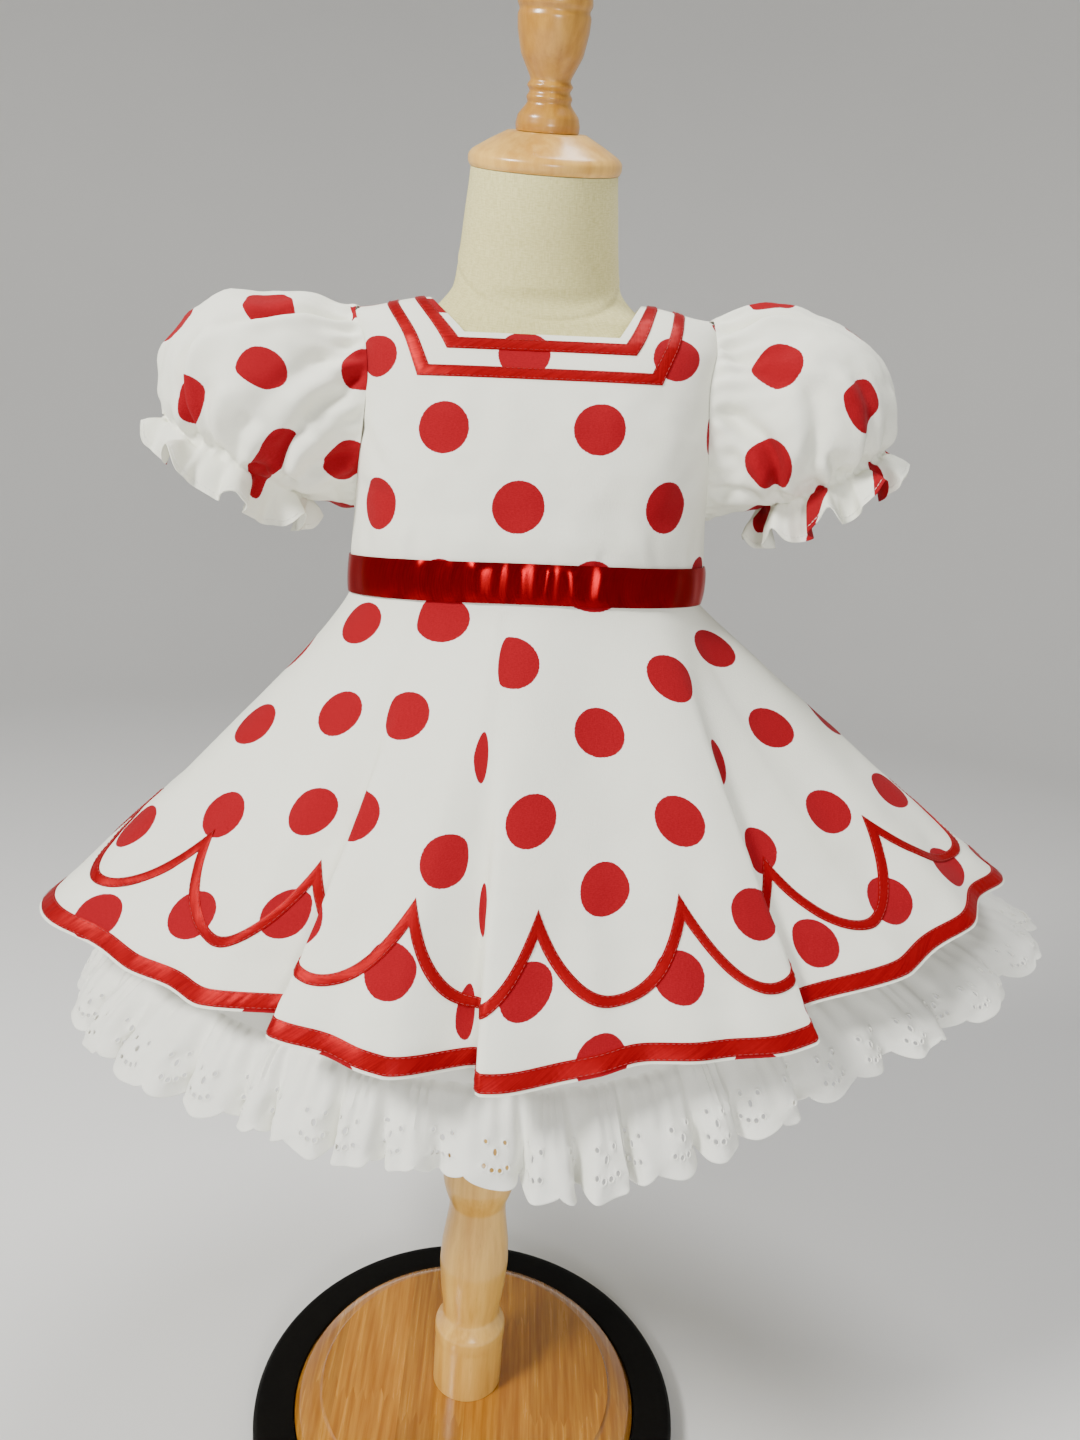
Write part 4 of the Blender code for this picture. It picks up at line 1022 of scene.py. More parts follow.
# Ribbons: points across a ribbon, how far it lies above its cloth, and its stitches, which are
# rounded lengths of thread a little way in from its edges.
RIBBON_ROWS = 6
RIBBON_LIFT = 0.00055
EDGE_INSET = 0.0007
EDGE_LIFT = 0.00062
STITCH = 0.0021
STITCH_PITCH = 0.0027
SLEEVE_STITCH_PITCH = 0.0024
THREAD = 0.00032
StitchRing = namedtuple("StitchRing", "end inset size")
STITCH_RINGS = [
    StitchRing(0, 0, 0.25),
    StitchRing(0, 0.28, 1),
    StitchRing(1, -0.28, 1),
    StitchRing(1, 0, 0.25),
]
STITCH_SIDES = 3
STITCHES = {}


def ribbon(name, points, facing, width=RIBBON_WIDTH, outward=1):
    """A sewn ribbon from a grid with its rows across: flat at its edges and raised between them."""
    across = np.linspace(-1, 1, RIBBON_ROWS)[:, None]
    along = lengths(points, 1)
    puckers = np.abs(uneven("ribbon", np.stack([along, along * 0], -1)))
    crown = RIBBON_LIFT * (1 - 0.35 * across ** 6) + (1 - across ** 2) * puckers
    lifted = points + facing * crown[..., None]
    cloth(name, lifted, RIBBON_SATIN, RIBBON, run_flat(points), outward=outward, facing=facing)
    CUT[name] = (float(along[:, -1].max()), width)


def sew_edges(name, line, facing):
    """Stitches along both long edges of a ribbon."""
    for row, other in ((0, 1), (-1, -2)):
        inward = unit(line[other] - line[row])
        sew(name, line[row] + inward * EDGE_INSET + facing[row] * EDGE_LIFT, facing[row])


def sew(name, line, facing, pitch=STITCH_PITCH):
    """Collect the stitches along a line that lies on cloth."""
    run = lengths(line[None], 1)[0]
    count = max(1, int(run[-1] / pitch))
    centres = (np.arange(count) + 0.5) * run[-1] / count
    ends = [along_path(centres + shift * STITCH / 2, run, line) for shift in (-1, 1)]
    out = unit(along_path(centres, run, facing))
    way = unit(ends[1] - ends[0])
    side = np.cross(way, out)
    points = []
    for ring in STITCH_RINGS:
        middle = ends[ring.end] + way * ring.inset * STITCH + out * (THREAD * 0.35 * ring.size)
        for turn in range(STITCH_SIDES):
            angle = math.pi / 2 + turn * math.pi * 2 / STITCH_SIDES
            spoke = side * math.cos(angle) + out * math.sin(angle)
            points.append(middle + spoke * THREAD * ring.size * 0.55)
    size = len(points)
    faces = [(2, 1, 0), (size - 3, size - 2, size - 1)]
    for low in range(0, size - STITCH_SIDES, STITCH_SIDES):
        high = low + STITCH_SIDES
        for turn in range(STITCH_SIDES):
            right = (turn + 1) % STITCH_SIDES
            faces.append((low + turn, low + right, high + right))
            faces.append((low + turn, high + right, high + turn))
    every = (np.array(faces)[None] + (np.arange(count) * size)[:, None, None]).reshape(-1, 3)
    kept = STITCHES.setdefault(name, [[], [], 0])
    kept[0].append(np.stack(points, 1).reshape(-1, 3))
    kept[1].append(every + kept[2])
    kept[2] += count * size


def finish_stitches():
    """Make each collected set of stitches a piece."""
    for name, (points, faces, _) in STITCHES.items():
        material = WHITE_THREAD if "white" in name else RED_THREAD
        add_mesh(name, hang(np.concatenate(points)), np.concatenate(faces).tolist(), material, smooth=0)


def scallop_part(place):
    """How far down the skirt the scalloped ribbon's middle runs, place counted in scallops."""
    swing = np.abs(2 * (place % 1.0) - 1)
    return SCALLOP_FOOT - (SCALLOP_FOOT - SCALLOP_PEAK) * swing ** SCALLOP_POWER


def make_skirt(side):
    """A half of the skirt with its ribbons."""
    azimuths, parts, points = skirt_grid(side)
    flat = printed("skirt_" + side, skirt_flat(points, parts, azimuths))
    top = polar(azimuths, waist_reach(azimuths), waist_height(azimuths) - GAP)[None]
    flat_top = 2 * flat[:1] - flat[1:2]
    flat = np.concatenate([flat_top, flat])
    cloth("skirt_" + side, np.concatenate([top, points]), COTTON, DOTTED, flat)
    half_angle = math.radians(SECTOR / 2 + FOLD_ALLOWANCE)
    outside = CUT_WAIST + CUT_LENGTH
    CUT["skirt_" + side] = (2 * outside * math.sin(half_angle), outside - CUT_WAIST * math.cos(half_angle))
    sheet = Sheet(azimuths, parts, points)
    spots = np.interp(np.linspace(0, 1, HEM_COLUMNS), np.linspace(0, 1, len(azimuths)), azimuths)
    bands = np.linspace(HEM_RIBBON_FROM, HEM_RIBBON_TO, RIBBON_ROWS)
    line, facing = sheet.at(*np.meshgrid(spots, bands))
    ribbon("hem_ribbon_" + side, line, facing, (HEM_RIBBON_TO - HEM_RIBBON_FROM) * CUT_LENGTH)
    sew_edges("hem_stitches_" + side, line, facing)
    make_scallops(side, sheet)


def scallop_band(start, end, span):
    """The flat cloth under one scallop of the ribbon, from a peak or an end to the next."""
    places = np.linspace(start, end, max(8, int(SCALLOP_COLUMNS * (end - start))))
    inside = np.clip(places, start + 1e-6, end - 1e-6)
    middle = np.stack([places * span, scallop_part(inside) * CUT_LENGTH], -1)
    way = unit(np.gradient(middle, axis=0))
    across = np.stack([-way[:, 1], way[:, 0]], -1)
    # At a peak both lengths end on the upright line through it, and turn to it little by little
    if start % 1 == 0:
        mitre(across, way)
    if end % 1 == 0:
        mitre(across[::-1], way[::-1])
    widths = np.linspace(-0.5, 0.5, RIBBON_ROWS) * RIBBON_WIDTH
    return middle[None] + across[None] * widths[:, None, None]


def make_scallops(side, sheet):
    """The scalloped ribbon: its middle runs in scallops over the flat cloth, mitred at its peaks."""
    row = int(round(SCALLOP_ROW * (len(sheet.parts) - 1)))
    share = lengths(sheet.points[row][None], 1)[0]
    share /= share[-1]
    span = math.radians(SECTOR) * (CUT_WAIST + CUT_LENGTH * SCALLOP_ROW) / SCALLOPS
    first, last = SCALLOP_PHASE, SCALLOP_PHASE + SCALLOPS
    corners = [first, *range(math.ceil(first), math.floor(last) + 1), last]
    found = []
    for start, end in zip(corners, corners[1:]):
        band = scallop_band(start, end, span)
        inner = np.clip(band[..., 0] / span, start, end)
        azimuth = np.interp((inner - first) / SCALLOPS, share, sheet.azimuths)
        spots = np.stack(sheet.at(azimuth, np.clip(band[..., 1] / CUT_LENGTH, 0, 1)))
        found.append(spots[:, :, 1:] if found else spots)
    line, facing = np.concatenate(found, 2)
    ribbon("scallop_ribbon_" + side, line, facing)
    sew_edges("scallop_stitches_" + side, line, facing)


def mitre(across, way):
    """Turn a ribbon's first cross lines towards the upright mitre at a peak."""
    across[0] = np.array([0.0, 1.0]) / max(0.25, abs(way[0][0]))
    for step in range(1, MITRE_COLUMNS):
        part = step / MITRE_COLUMNS
        across[step] = across[step] * part + across[0] * (1 - part)


# Underskirt and ruffle
def underskirt_surface(azimuth, part):
    azimuth = wrap(azimuth)
    reach = waist_reach(azimuth) - UNDERSKIRT_INSET
    height = waist_height(azimuth) - UNDERSKIRT_BEND
    seam = columns_at(UNDER, azimuth, ring=True)
    low = seam.seam_height - HANG_SLOPE * seam.seam_reach * np.sin(np.radians(azimuth))
    return polar(azimuth, reach + (seam.seam_reach - reach) * part, height + (low - height) * part)


def swings(rows, azimuth):
    """Sum of a table's swings at azimuths."""
    return sum(swing.size * np.sin(np.radians(azimuth * swing.count)) for swing in rows)


def ruffle_wave(turn):
    """Height of a wave of the ruffle: a wide crest of 1 and a narrow trough of -1."""
    return 1 - 2 * bell((turn % 1.0 - 0.5) / RUFFLE_TROUGH)


def ruffle_surface(even, part, turn):
    """Outer points of the ruffle at even azimuths. turn counts its waves; part is below 0 where
    the ruffle is sewn in behind the underskirt's edge."""
    azimuth = wrap(even + swings(RUFFLE_PLACE_SWINGS, even))
    row = columns_at(UNDER, azimuth, ring=True)
    high = row.seam_height - RUFFLE_SEAM_DROP
    down = np.clip(part, 0, 1)
    depth = RUFFLE_WAVE_DEPTH * (RUFFLE_GATHER + (1 - RUFFLE_GATHER) * down)
    depth = depth * (1 + swings(RUFFLE_DEPTH_SWINGS, azimuth))
    phase = 2 * math.pi * turn
    pleats = np.sin(phase * 4 + 1.3 * np.sin(phase) + 0.9 * np.sin(0.37 * phase))
    pleats = pleats * RUFFLE_PLEAT * (1 - down) ** 1.8 * ramp(part, -0.02, 0.04)
    wide = RUFFLE_SOFT_WAVE * down * np.sin(phase * 2 + 2.1 * np.sin(0.23 * phase))
    tuck = RUFFLE_TUCK * ramp(part, 0.10, 0.0) + RUFFLE_HIDE * ramp(part, 0.0, -0.06)
    reach = row.seam_reach + (row.edge_reach - row.seam_reach) * np.sin(down * math.pi / 2)
    reach = reach + depth * ruffle_wave(turn) + pleats + wide - tuck
    sideways = RUFFLE_LEAN * depth * np.sin(phase) * down
    points = polar(azimuth, reach, high + (row.edge_height - high) * part)
    points = points + polar(azimuth + 90, sideways, 0)
    points[..., 2] -= HANG_SLOPE * points[..., 0]
    return points


# The eyelet motif, in millimetres: one for each scallop of the edge. A hole has its place across
# from the scallop's middle and up from the lowest point of the edge, and its two half sizes.
Hole = namedtuple("Hole", "across up half_width half_height")
MOTIF = 29.0
MOTIF_COLUMNS = 14
SCALLOP_DROP = 5.6
HOLES = [
    Hole(-5.6, 12.6, 0.95, 1.25),
    Hole(-1.9, 10.9, 1.05, 1.25),
    Hole(1.9, 10.9, 1.05, 1.25),
    Hole(5.6, 12.6, 0.95, 1.25),
    Hole(0.0, 19.6, 1.00, 1.70),
    Hole(-5.2, 24.4, 1.00, 1.05),
    Hole(5.2, 24.4, 1.00, 1.05),
]
HOLE_SIDES = 14

# The raised thread round each hole and along the edge: how far out from it, and how high
Rise = namedtuple("Rise", "out height")
RIMS = [Rise(0.0, 0.08), Rise(0.30, 0.36), Rise(0.62, 0.30), Rise(0.95, 0.0)]
EDGE_CORD = [Rise(0.0, 0.05), Rise(0.5, 0.42), Rise(1.3, 0.38), Rise(2.0, 0.0)]

# Rows of a motif's plain cloth: where they begin, their pitch, and the top rows of the pleats
FIRST_ROW = SCALLOP_DROP + 2.6
ROW_PITCH = 2.1
PLEATED = 8.0
PLEATED_ROWS = 8


def edge_up(across):
    """How far the scalloped edge lies above its lowest point, in millimetres."""
    share = np.clip(np.abs(across) / (MOTIF / 2), 0, 1)
    return SCALLOP_DROP * (1 - np.cos(share * math.pi / 2) ** 0.75)


def motif_places(length):
    """Points of one motif of the ruffle and how high each is raised, in millimetres."""
    rows = [*np.arange(FIRST_ROW, length - PLEATED, ROW_PITCH)]
    rows += [*np.linspace(length - PLEATED, length, PLEATED_ROWS)]
    centres = [(hole.across, hole.up, max(hole.half_width, hole.half_height) + 1.5) for hole in HOLES]
    found = []
    for up in sorted(set(rows)):
        for x in np.linspace(-MOTIF / 2, MOTIF / 2, MOTIF_COLUMNS + 1):
            if all((x - a) ** 2 + (up - b) ** 2 > r * r for a, b, r in centres):
                found.append(((x, up), 0.0))
    for rise in EDGE_CORD:
        for x in np.linspace(-MOTIF / 2, MOTIF / 2, MOTIF_COLUMNS * 2 + 1):
            found.append(((x, edge_up(x) * (1 - 0.02 * rise.out) + rise.out), rise.height))
    for hole in HOLES:
        for rise in RIMS:
            for side in range(HOLE_SIDES):
                angle = 2 * math.pi * (side + 0.5 * (rise.out > 0.5)) / HOLE_SIDES
                x = hole.across + (hole.half_width + rise.out) * math.cos(angle)
                up = hole.up + (hole.half_height + rise.out) * math.sin(angle)
                found.append(((x, up), rise.height))
    return found


def in_hole(x, up):
    """Whether a place of the motif lies in one of its holes."""
    offsets = [((x - hole.across) / hole.half_width, (up - hole.up) / hole.half_height) for hole in HOLES]
    return any(across ** 2 + high ** 2 < 0.97 for across, high in offsets)


def motif_cell(length):
    """Places, raised heights and triangles of one motif of the ruffle, in millimetres."""
    places = motif_places(length)
    found = delaunay_2d_cdt([Vector(place) for place, _ in places], [], [], 0, 1e-5)
    points, faces, origins = found[0], found[2], found[3]
    heights = [max((places[number][1] for number in numbers), default=0.0) for numbers in origins]
    kept = []
    for face in faces:
        x = sum(points[corner].x for corner in face) / len(face)
        up = sum(points[corner].y for corner in face) / len(face)
        if not in_hole(x, up) and up > edge_up(x) - 0.05:
            kept.append(face)
    return np.array([tuple(point) for point in points]), np.array(heights), np.array(kept)


def motif_row(count):
    """Places in motifs, heights above the edge, raised heights and triangles of a row of motifs."""
    cell, raised, faces = motif_cell(RUFFLE_LENGTH + RUFFLE_ALLOWANCE)
    places = (np.arange(count)[:, None] + (cell[:, 0] + MOTIF / 2) / MOTIF).ravel()
    ups = np.tile(cell[:, 1], count)
    heights = np.tile(raised, count) * MM
    triangles = (faces + (np.arange(count) * len(cell))[:, None, None]).reshape(-1, 3)
    # Join the motifs where they meet
    keys = np.round(np.stack([places * MOTIF, ups], 1), 3)
    _, first, back = np.unique(keys, axis=0, return_index=True, return_inverse=True)
    places, ups = places[first], ups[first]
    triangles = back.ravel()[triangles]
    triangles = triangles[[len(set(corners)) == 3 for corners in triangles.tolist()]]
    # Triangles face out: rows run down and columns run towards +X
    corners = np.stack([places, -ups], 1)[triangles]
    turn = np.cross(corners[:, 1] - corners[:, 0], corners[:, 2] - corners[:, 0])
    triangles[turn < 0] = triangles[turn < 0][:, ::-1]
    return places, ups, heights[first], triangles


def make_ruffle(side):
    """A half of the underskirt's ruffle, with its eyelets cut through and its scalloped edge."""
    name = "eyelet_ruffle_" + side
    start = START[side]
    # The motifs are even where the ruffle is three quarters of the way down
    fine = np.linspace(0, 1, 6000)
    run = lengths(ruffle_surface(start + 180 * fine, 0.75, RUFFLE_WAVES * fine)[None], 1)[0]
    count = int(round(run[-1] / (MOTIF * MM)))
    places, ups, heights, triangles = motif_row(count)
    share = np.interp(places / count * run[-1], run, fine)
    part = 1 - ups / RUFFLE_LENGTH
    spot = ruffle_surface(start + 180 * share, part, RUFFLE_WAVES * share)
    beside = ruffle_surface(start + 180 * (share + 2e-5), part, RUFFLE_WAVES * (share + 2e-5))
    below = ruffle_surface(start + 180 * share, part + 2e-3, RUFFLE_WAVES * share)
    facing = unit(np.cross(below - spot, beside - spot))
    bumps = uneven(name, np.stack([places * MOTIF * MM, ups * MM], 1))
    spot = spot + facing * (heights + bumps * np.clip(part * 2, 0, 1))[:, None]
    flat = xyz(places * MOTIF * MM, -ups * MM, 0.0)
    add_shell(name, spot, facing, triangles, EYELET_COTTON, WHITE, flat)
    CUT[name] = (count * MOTIF * MM, (RUFFLE_LENGTH + RUFFLE_ALLOWANCE) * MM)


def make_underskirt(side):
    """A half of the underskirt, with the gathers of its edge."""
    columns, rows = UNDERSKIRT_GRID
    azimuths = np.linspace(START[side], START[side] + 180, columns)
    points = underskirt_surface(azimuths[None], np.linspace(0, 1, rows)[:, None])
    reach = waist_reach(azimuths) - UNDERSKIRT_TOP_INSET
    top = polar(azimuths, reach, waist_height(azimuths) - UNDERSKIRT_TOP)
    points = np.concatenate([top[None], points])
    flat = run_flat(points)
    cloth("underskirt_" + side, points, FINE_COTTON, WHITE, flat)
    CUT["underskirt_" + side] = (float(flat[..., 0].max()), float(flat[..., 1].max()))


# Bodice. Soft creases: two ends, each across and up from the floor, a width and a depth, all in
# millimetres.
Dent = namedtuple("Dent", "across up end_across end_up width depth")
DENTS = [
    Dent(-90, 676, -72, 648, 4.0, 1.1),
    Dent(-93, 646, -66, 640, 4.0, 0.9),
    Dent(-83, 602, -86, 626, 3.2, 1.0),
    Dent(-62, 602, -57, 630, 3.2, 1.1),
    Dent(-46, 602, -44, 620, 2.6, 0.9),
    Dent(-22, 602, -23, 613, 2.4, 0.6),
    Dent(10, 602, 11, 614, 2.4, 0.6),
    Dent(34, 602, 37, 618, 2.6, 0.8),
    Dent(66, 602, 60, 627, 3.2, 1.0),
    Dent(93, 664, 72, 640, 4.0, 1.0),
    Dent(88, 602, 84, 622, 3.0, 0.9),
    Dent(-50, 700, -20, 694, 5.0, 0.5),
    Dent(24, 690, 52, 698, 5.0, 0.5),
]


def dent_depth(x, z):
    """How far the bodice's soft creases go in at places across and up."""
    total = 0.0
    for row in DENTS:
        way = np.array([row.end_across - row.across, row.end_up - row.up]) * MM
        size = np.linalg.norm(way)
        right, up = x - row.across * MM, z - row.up * MM
        part = (right * way[0] + up * way[1]) / size ** 2
        off = (right * way[1] - up * way[0]) / size / (row.width * MM)
        fade = ramp(part, -0.15, 0.15) * ramp(part, 1.15, 0.55)
        total = total + fade * row.depth * MM * (bell(off - 0.4) - 0.6 * bell(off + 1.2))
    return total


# The bodice's grid: rows below and beside the neckline, and columns across half of the neckline
# and across a strap. A shoulder seam lies this far from the middle, front and back.
LOW_ROWS = 60
NECK_ROWS = 18
NECK_COLUMNS = 24
STRAP_COLUMNS = 40
SEAM_SIDE = 0.0002

# Points along a side and along the low part of a neckline ribbon, and its step for a normal
RIBBON_SIDE_POINTS = 40
RIBBON_LOW_POINTS = 90
STEP = 1e-5


def waist_bound(height, x, y):
    """Height of points of the bodice, whose foot follows the waist."""
    azimuth = np.degrees(np.arctan2(x, -y))
    blend = np.maximum(0.0, (WAIST_BLEND_TOP - height) / (WAIST_BLEND_TOP - BODICE_FOOT))
    return height + (waist_height(azimuth) - BODICE_FOOT) * blend


def bodice_surface(height, x, front):
    """Outer points of the bodice at heights and distances across."""
    level = columns_at(BODICE, height)
    size = level.front if front else level.back
    share = np.clip(np.abs(x) / level.half_width, 0, 1)
    depth = size * (1 - share ** level.squareness) ** (1 / level.squareness)
    y = -depth if front else depth
    return xyz(x, y, waist_bound(height, x, y))


def neck_half_width(height, bottom):
    part = np.clip((height - bottom) / (SHOULDER_SEAM - bottom), 0.0, 1.0)
    return NECK_CORNER + (NECK_SHOULDER - NECK_CORNER) * part


def part_at(level, x):
    return np.arcsin(np.clip((x / level.half_width) ** (level.squareness / 2), 0, 1)) * 2 / math.pi


def bodice_grid(height, bottom, front):
    """Outer points of half of the bodice: its columns follow the neckline and the armholes."""
    level = columns_at(BODICE, height)
    neck = part_at(level, neck_half_width(height, bottom))
    rise = np.clip((height - ARMHOLE_HEIGHT) / ARMHOLE_RISE, -1, 1)
    edge = np.where(height > ARMHOLE_HEIGHT - ARMHOLE_RISE, ARMHOLE_REACH * np.sqrt(1 - rise ** 2), 0.0)
    size = level.front if front else level.back
    end = np.arccos(np.clip((edge / size) ** (level.squareness / 2), 0, 1)) * 2 / math.pi
    steps = np.linspace(0, 1, NECK_COLUMNS + 1)[None]
    straps = np.linspace(0, 1, STRAP_COLUMNS + 1)[None, 1:]
    angle = np.concatenate([steps * neck, neck + straps * (end - neck)], 1) * math.pi / 2
    power = 2 / level.squareness
    x = level.half_width * np.sin(angle) ** power
    y = size * np.cos(angle) ** power * (-1 if front else 1)
    half = xyz(x, y, waist_bound(height, x, y))
    mirrored = half[:, :0:-1] * np.array([-1.0, 1.0, 1.0])
    points = np.concatenate([mirrored, half], 1)
    points[-1, :, 1] = -SEAM_SIDE if front else SEAM_SIDE
    return points


def bodice_bumps(name, points, height, outward):
    """How far the bodice's cloth stands out: calm at its edges, the yoke and under the sash."""
    calm = ramp(np.abs(points[..., 0]), 0.095, 0.088) * ramp(points[..., 2], SHOULDER_SEAM, 0.735)
    calm = calm * (0.3 + 0.7 * ramp(height, 0.606, 0.617))
    calm = calm * (0.05 + 0.95 * ramp(height, 0.699, 0.688))
    return (uneven(name, points) - dent_depth(points[..., 0] * outward * -1, height)) * calm


def make_bodice(side):
    """Front or back of the bodice, with its neckline ribbons."""
    name = "bodice_" + side
    front = side == "front"
    outward = -1 if front else 1
    bottom = NECKLINE_FRONT if front else NECKLINE_BACK
    heights = np.concatenate([
        np.linspace(BODICE_FOOT, bottom, LOW_ROWS),
        np.linspace(bottom, SHOULDER_SEAM, NECK_ROWS)[1:],
    ])
    height = heights[:, None]
    points = bodice_grid(height, bottom, front)
    facing = normals_of(points, outward=outward)
    points = points + facing * bodice_bumps(name, points, height, outward)[..., None]
    middle = NECK_COLUMNS + STRAP_COLUMNS
    missing = np.zeros((len(heights) - 1, points.shape[1] - 1), bool)
    missing[LOW_ROWS - 1:, middle - NECK_COLUMNS:middle + NECK_COLUMNS] = True
    along = lengths(points, 1)
    along = along - along[:, middle:middle + 1]
    down = heights[-1] - heights[0] - lengths(points, 0)[:, middle:middle + 1]
    CUT[name] = (float(np.ptp(along, 1).max()), float(down.max() - down.min()) * 1.03)
    flat = printed(name, np.stack(np.broadcast_arrays(along, down), -1))
    cloth(name, points, COTTON, DOTTED, flat, outward=outward, missing=missing, facing=facing)
    for offset, where in ((INNER_RIBBON, "inner"), (OUTER_RIBBON, "outer")):
        make_neck_ribbon("neck_ribbon_" + where + "_" + side, front, bottom, offset)


def neck_line(band, bottom):
    """Distances across and heights along half of the neckline, a band's width away from it."""
    tall = np.linspace(0, 1, RIBBON_SIDE_POINTS)
    corner_x, corner_z = NECK_CORNER + band, bottom - band
    side_x = corner_x + (NECK_SHOULDER + band - corner_x) * tall
    side_z = corner_z + (SHOULDER_SEAM - corner_z) * tall
    low_x = np.linspace(-corner_x, corner_x, RIBBON_LOW_POINTS)[1:-1]
    x = np.concatenate([-side_x[::-1], low_x, side_x])
    return x, np.concatenate([side_z[::-1], np.full(low_x.shape, corner_z), side_z])


def make_neck_ribbon(name, front, bottom, offset):
    """A ribbon round half of the neckline, mitred at its two corners."""
    outward = 1 if front else -1
    bands = offset + np.linspace(0, RIBBON_WIDTH, RIBBON_ROWS)
    x, z = np.stack([neck_line(band, bottom) for band in bands], 1)
    spot = bodice_surface(z, x, front)
    beside = bodice_surface(z, x + STEP, front)
    above = bodice_surface(np.minimum(z + STEP, SHOULDER_SEAM), x, front)
    back = bodice_surface(np.minimum(z + STEP, SHOULDER_SEAM) - STEP, x, front)
    facing = unit(np.cross(beside - spot, above - back)) * outward
    spot[:, [0, -1], 1] = -SEAM_SIDE * outward
    ribbon(name, spot, facing, outward=outward)
    sew_edges("neck_stitches", spot, facing)


# The sash. Its upright swells: azimuth, width in degrees, height in millimetres and lean.
Swell = namedtuple("Swell", "azimuth width height lean")
SASH_SWELLS = [
    Swell(-47, 2.6, 0.5, 0.5),
    Swell(-35, 3.2, 0.8, -0.6),
    Swell(-25, 2.2, 0.6, 0.7),
    Swell(-17, 3.0, 1.1, -0.9),
    Swell(-9, 2.0, 0.7, 0.8),
    Swell(-2, 3.0, 1.0, -0.5),
    Swell(6, 2.0, 0.7, 0.9),
    Swell(14, 3.2, 1.3, -0.8),
    Swell(24, 2.4, 0.9, 0.8),
    Swell(35, 2.6, 0.7, -0.6),
    Swell(50, 3.0, 0.6, 0.5),
    Swell(118, 3.4, 0.6, -0.5),
    Swell(141, 3.0, 0.7, 0.6),
    Swell(163, 3.2, 0.8, -0.5),
    Swell(-174, 3.0, 0.7, 0.5),
    Swell(-150, 3.4, 0.8, -0.6),
    Swell(-127, 3.6, 0.6, 0.4),
]


# The sash's columns and rows, how far out it lies, how far its middle stands out further, and the
# metres in a degree round it
SASH_GRID = (600, 12)
SASH_REACH = 0.0011
SASH_CROWN = 0.0006
SASH_DEGREE = 0.0016


def make_sash():
    """The sash of satin ribbon over the waist seam."""
    columns, rows = SASH_GRID
    azimuths = np.linspace(-180, 180, columns, endpoint=False)
    ups = np.linspace(0.5, -0.5, rows)[:, None] * SASH_WIDTH
    reach = waist_reach(azimuths)[None] + SASH_REACH
    places = np.stack(np.broadcast_arrays(azimuths[None] * SASH_DEGREE, ups), -1)
    waves = noise(places * np.array([1.0, 0.22]), 0.021, 41) * 0.0005 + noise(places, 0.034, 42) * 0.0003
    for swell in SASH_SWELLS:
        lean = swell.azimuth + 60 * ups * swell.lean
        waves = waves + swell.height * MM * bell(wrap(azimuths[None] - lean) / swell.width)
    share = np.abs(ups) / (SASH_WIDTH / 2)
    reach = reach + waves * (1 - share ** 6 * 0.8) + SASH_CROWN * (1 - share ** 2)
    points = polar(azimuths[None], reach, waist_height(azimuths)[None] + ups)
    flat = run_flat(close(points))
    cloth("sash", points, SASH_SATIN, SATIN, flat, closed=True)
    CUT["sash"] = (float(flat[..., 0].max()), SASH_WIDTH * 1.01)


# Sleeves
def sleeve_surface(rings, side, rows, columns):
    """Outer points of a sleeve from the armhole to its edge."""
    turn = 2 * math.pi * (np.arange(columns) / columns + 0.5)
    height = ARMHOLE_HEIGHT + (ARMHOLE_RISE + SLEEVE_SEAM_LAP) * np.cos(turn)
    depth = (ARMHOLE_REACH + SLEEVE_SEAM_LAP) * np.sin(turn)
    level = columns_at(BODICE, np.minimum(height, ARMHOLE_TOP_LEVEL))
    size = np.where(depth < 0, level.front, level.back)
    share = np.minimum(np.abs(ARMHOLE_REACH * np.sin(turn)) / size, 1.0)
    width = level.half_width * (1 - share ** level.squareness) ** (1 / level.squareness) - GAP
    lines = [xyz(side * width, depth, height)]
    for ring in rings:
        angle = math.radians(ring.angle)
        along = np.array([side * math.sin(angle), 0, math.cos(angle)])
        off = np.array([side * math.cos(angle), 0, -math.sin(angle)])
        hinge = np.array([side * SLEEVE_HINGE_X, 0, SLEEVE_HINGE_Z]) + off * ring.drop
        middle = (ring.near + ring.reach) / 2
        half = (ring.reach - ring.near) / 2
        line = hinge + along * (middle + half * np.cos(turn))[:, None]
        line[:, 1] += ring.half_depth * np.sin(turn)
        lines.append(line)
    lines = np.array(lines)
    # Smooth through the rings
    places = np.linspace(0, len(lines) - 1, rows)
    low = np.clip(places.astype(int), 0, len(lines) - 2)
    part = (places - low)[:, None, None]
    before = lines[np.maximum(low - 1, 0)]
    after = lines[np.minimum(low + 2, len(lines) - 1)]
    points = cubic(before, lines[low], lines[low + 1], after, part)
    return places, turn, points


# Places on a sleeve, counted in rings from the armhole: the elastic casing, the frill's edge, and
# how far above it the hem's stitches lie; and the columns and rows of a sleeve's grid
CASING = 6.0
FRILL_END = 9.0
FRILL_HEM = 0.42
SLEEVE_GRID = (288, 91)

# Heights of a sleeve's gathers: at the armhole, at the casing, above it and the finest ones; and
# how far the casing pinches in
ARMHOLE_GATHERS = 0.0013
CASING_GATHERS = 0.0011
PUFF_GATHERS = 0.0013
FINE_GATHERS = 0.0007
CASING_PINCH = 0.0016


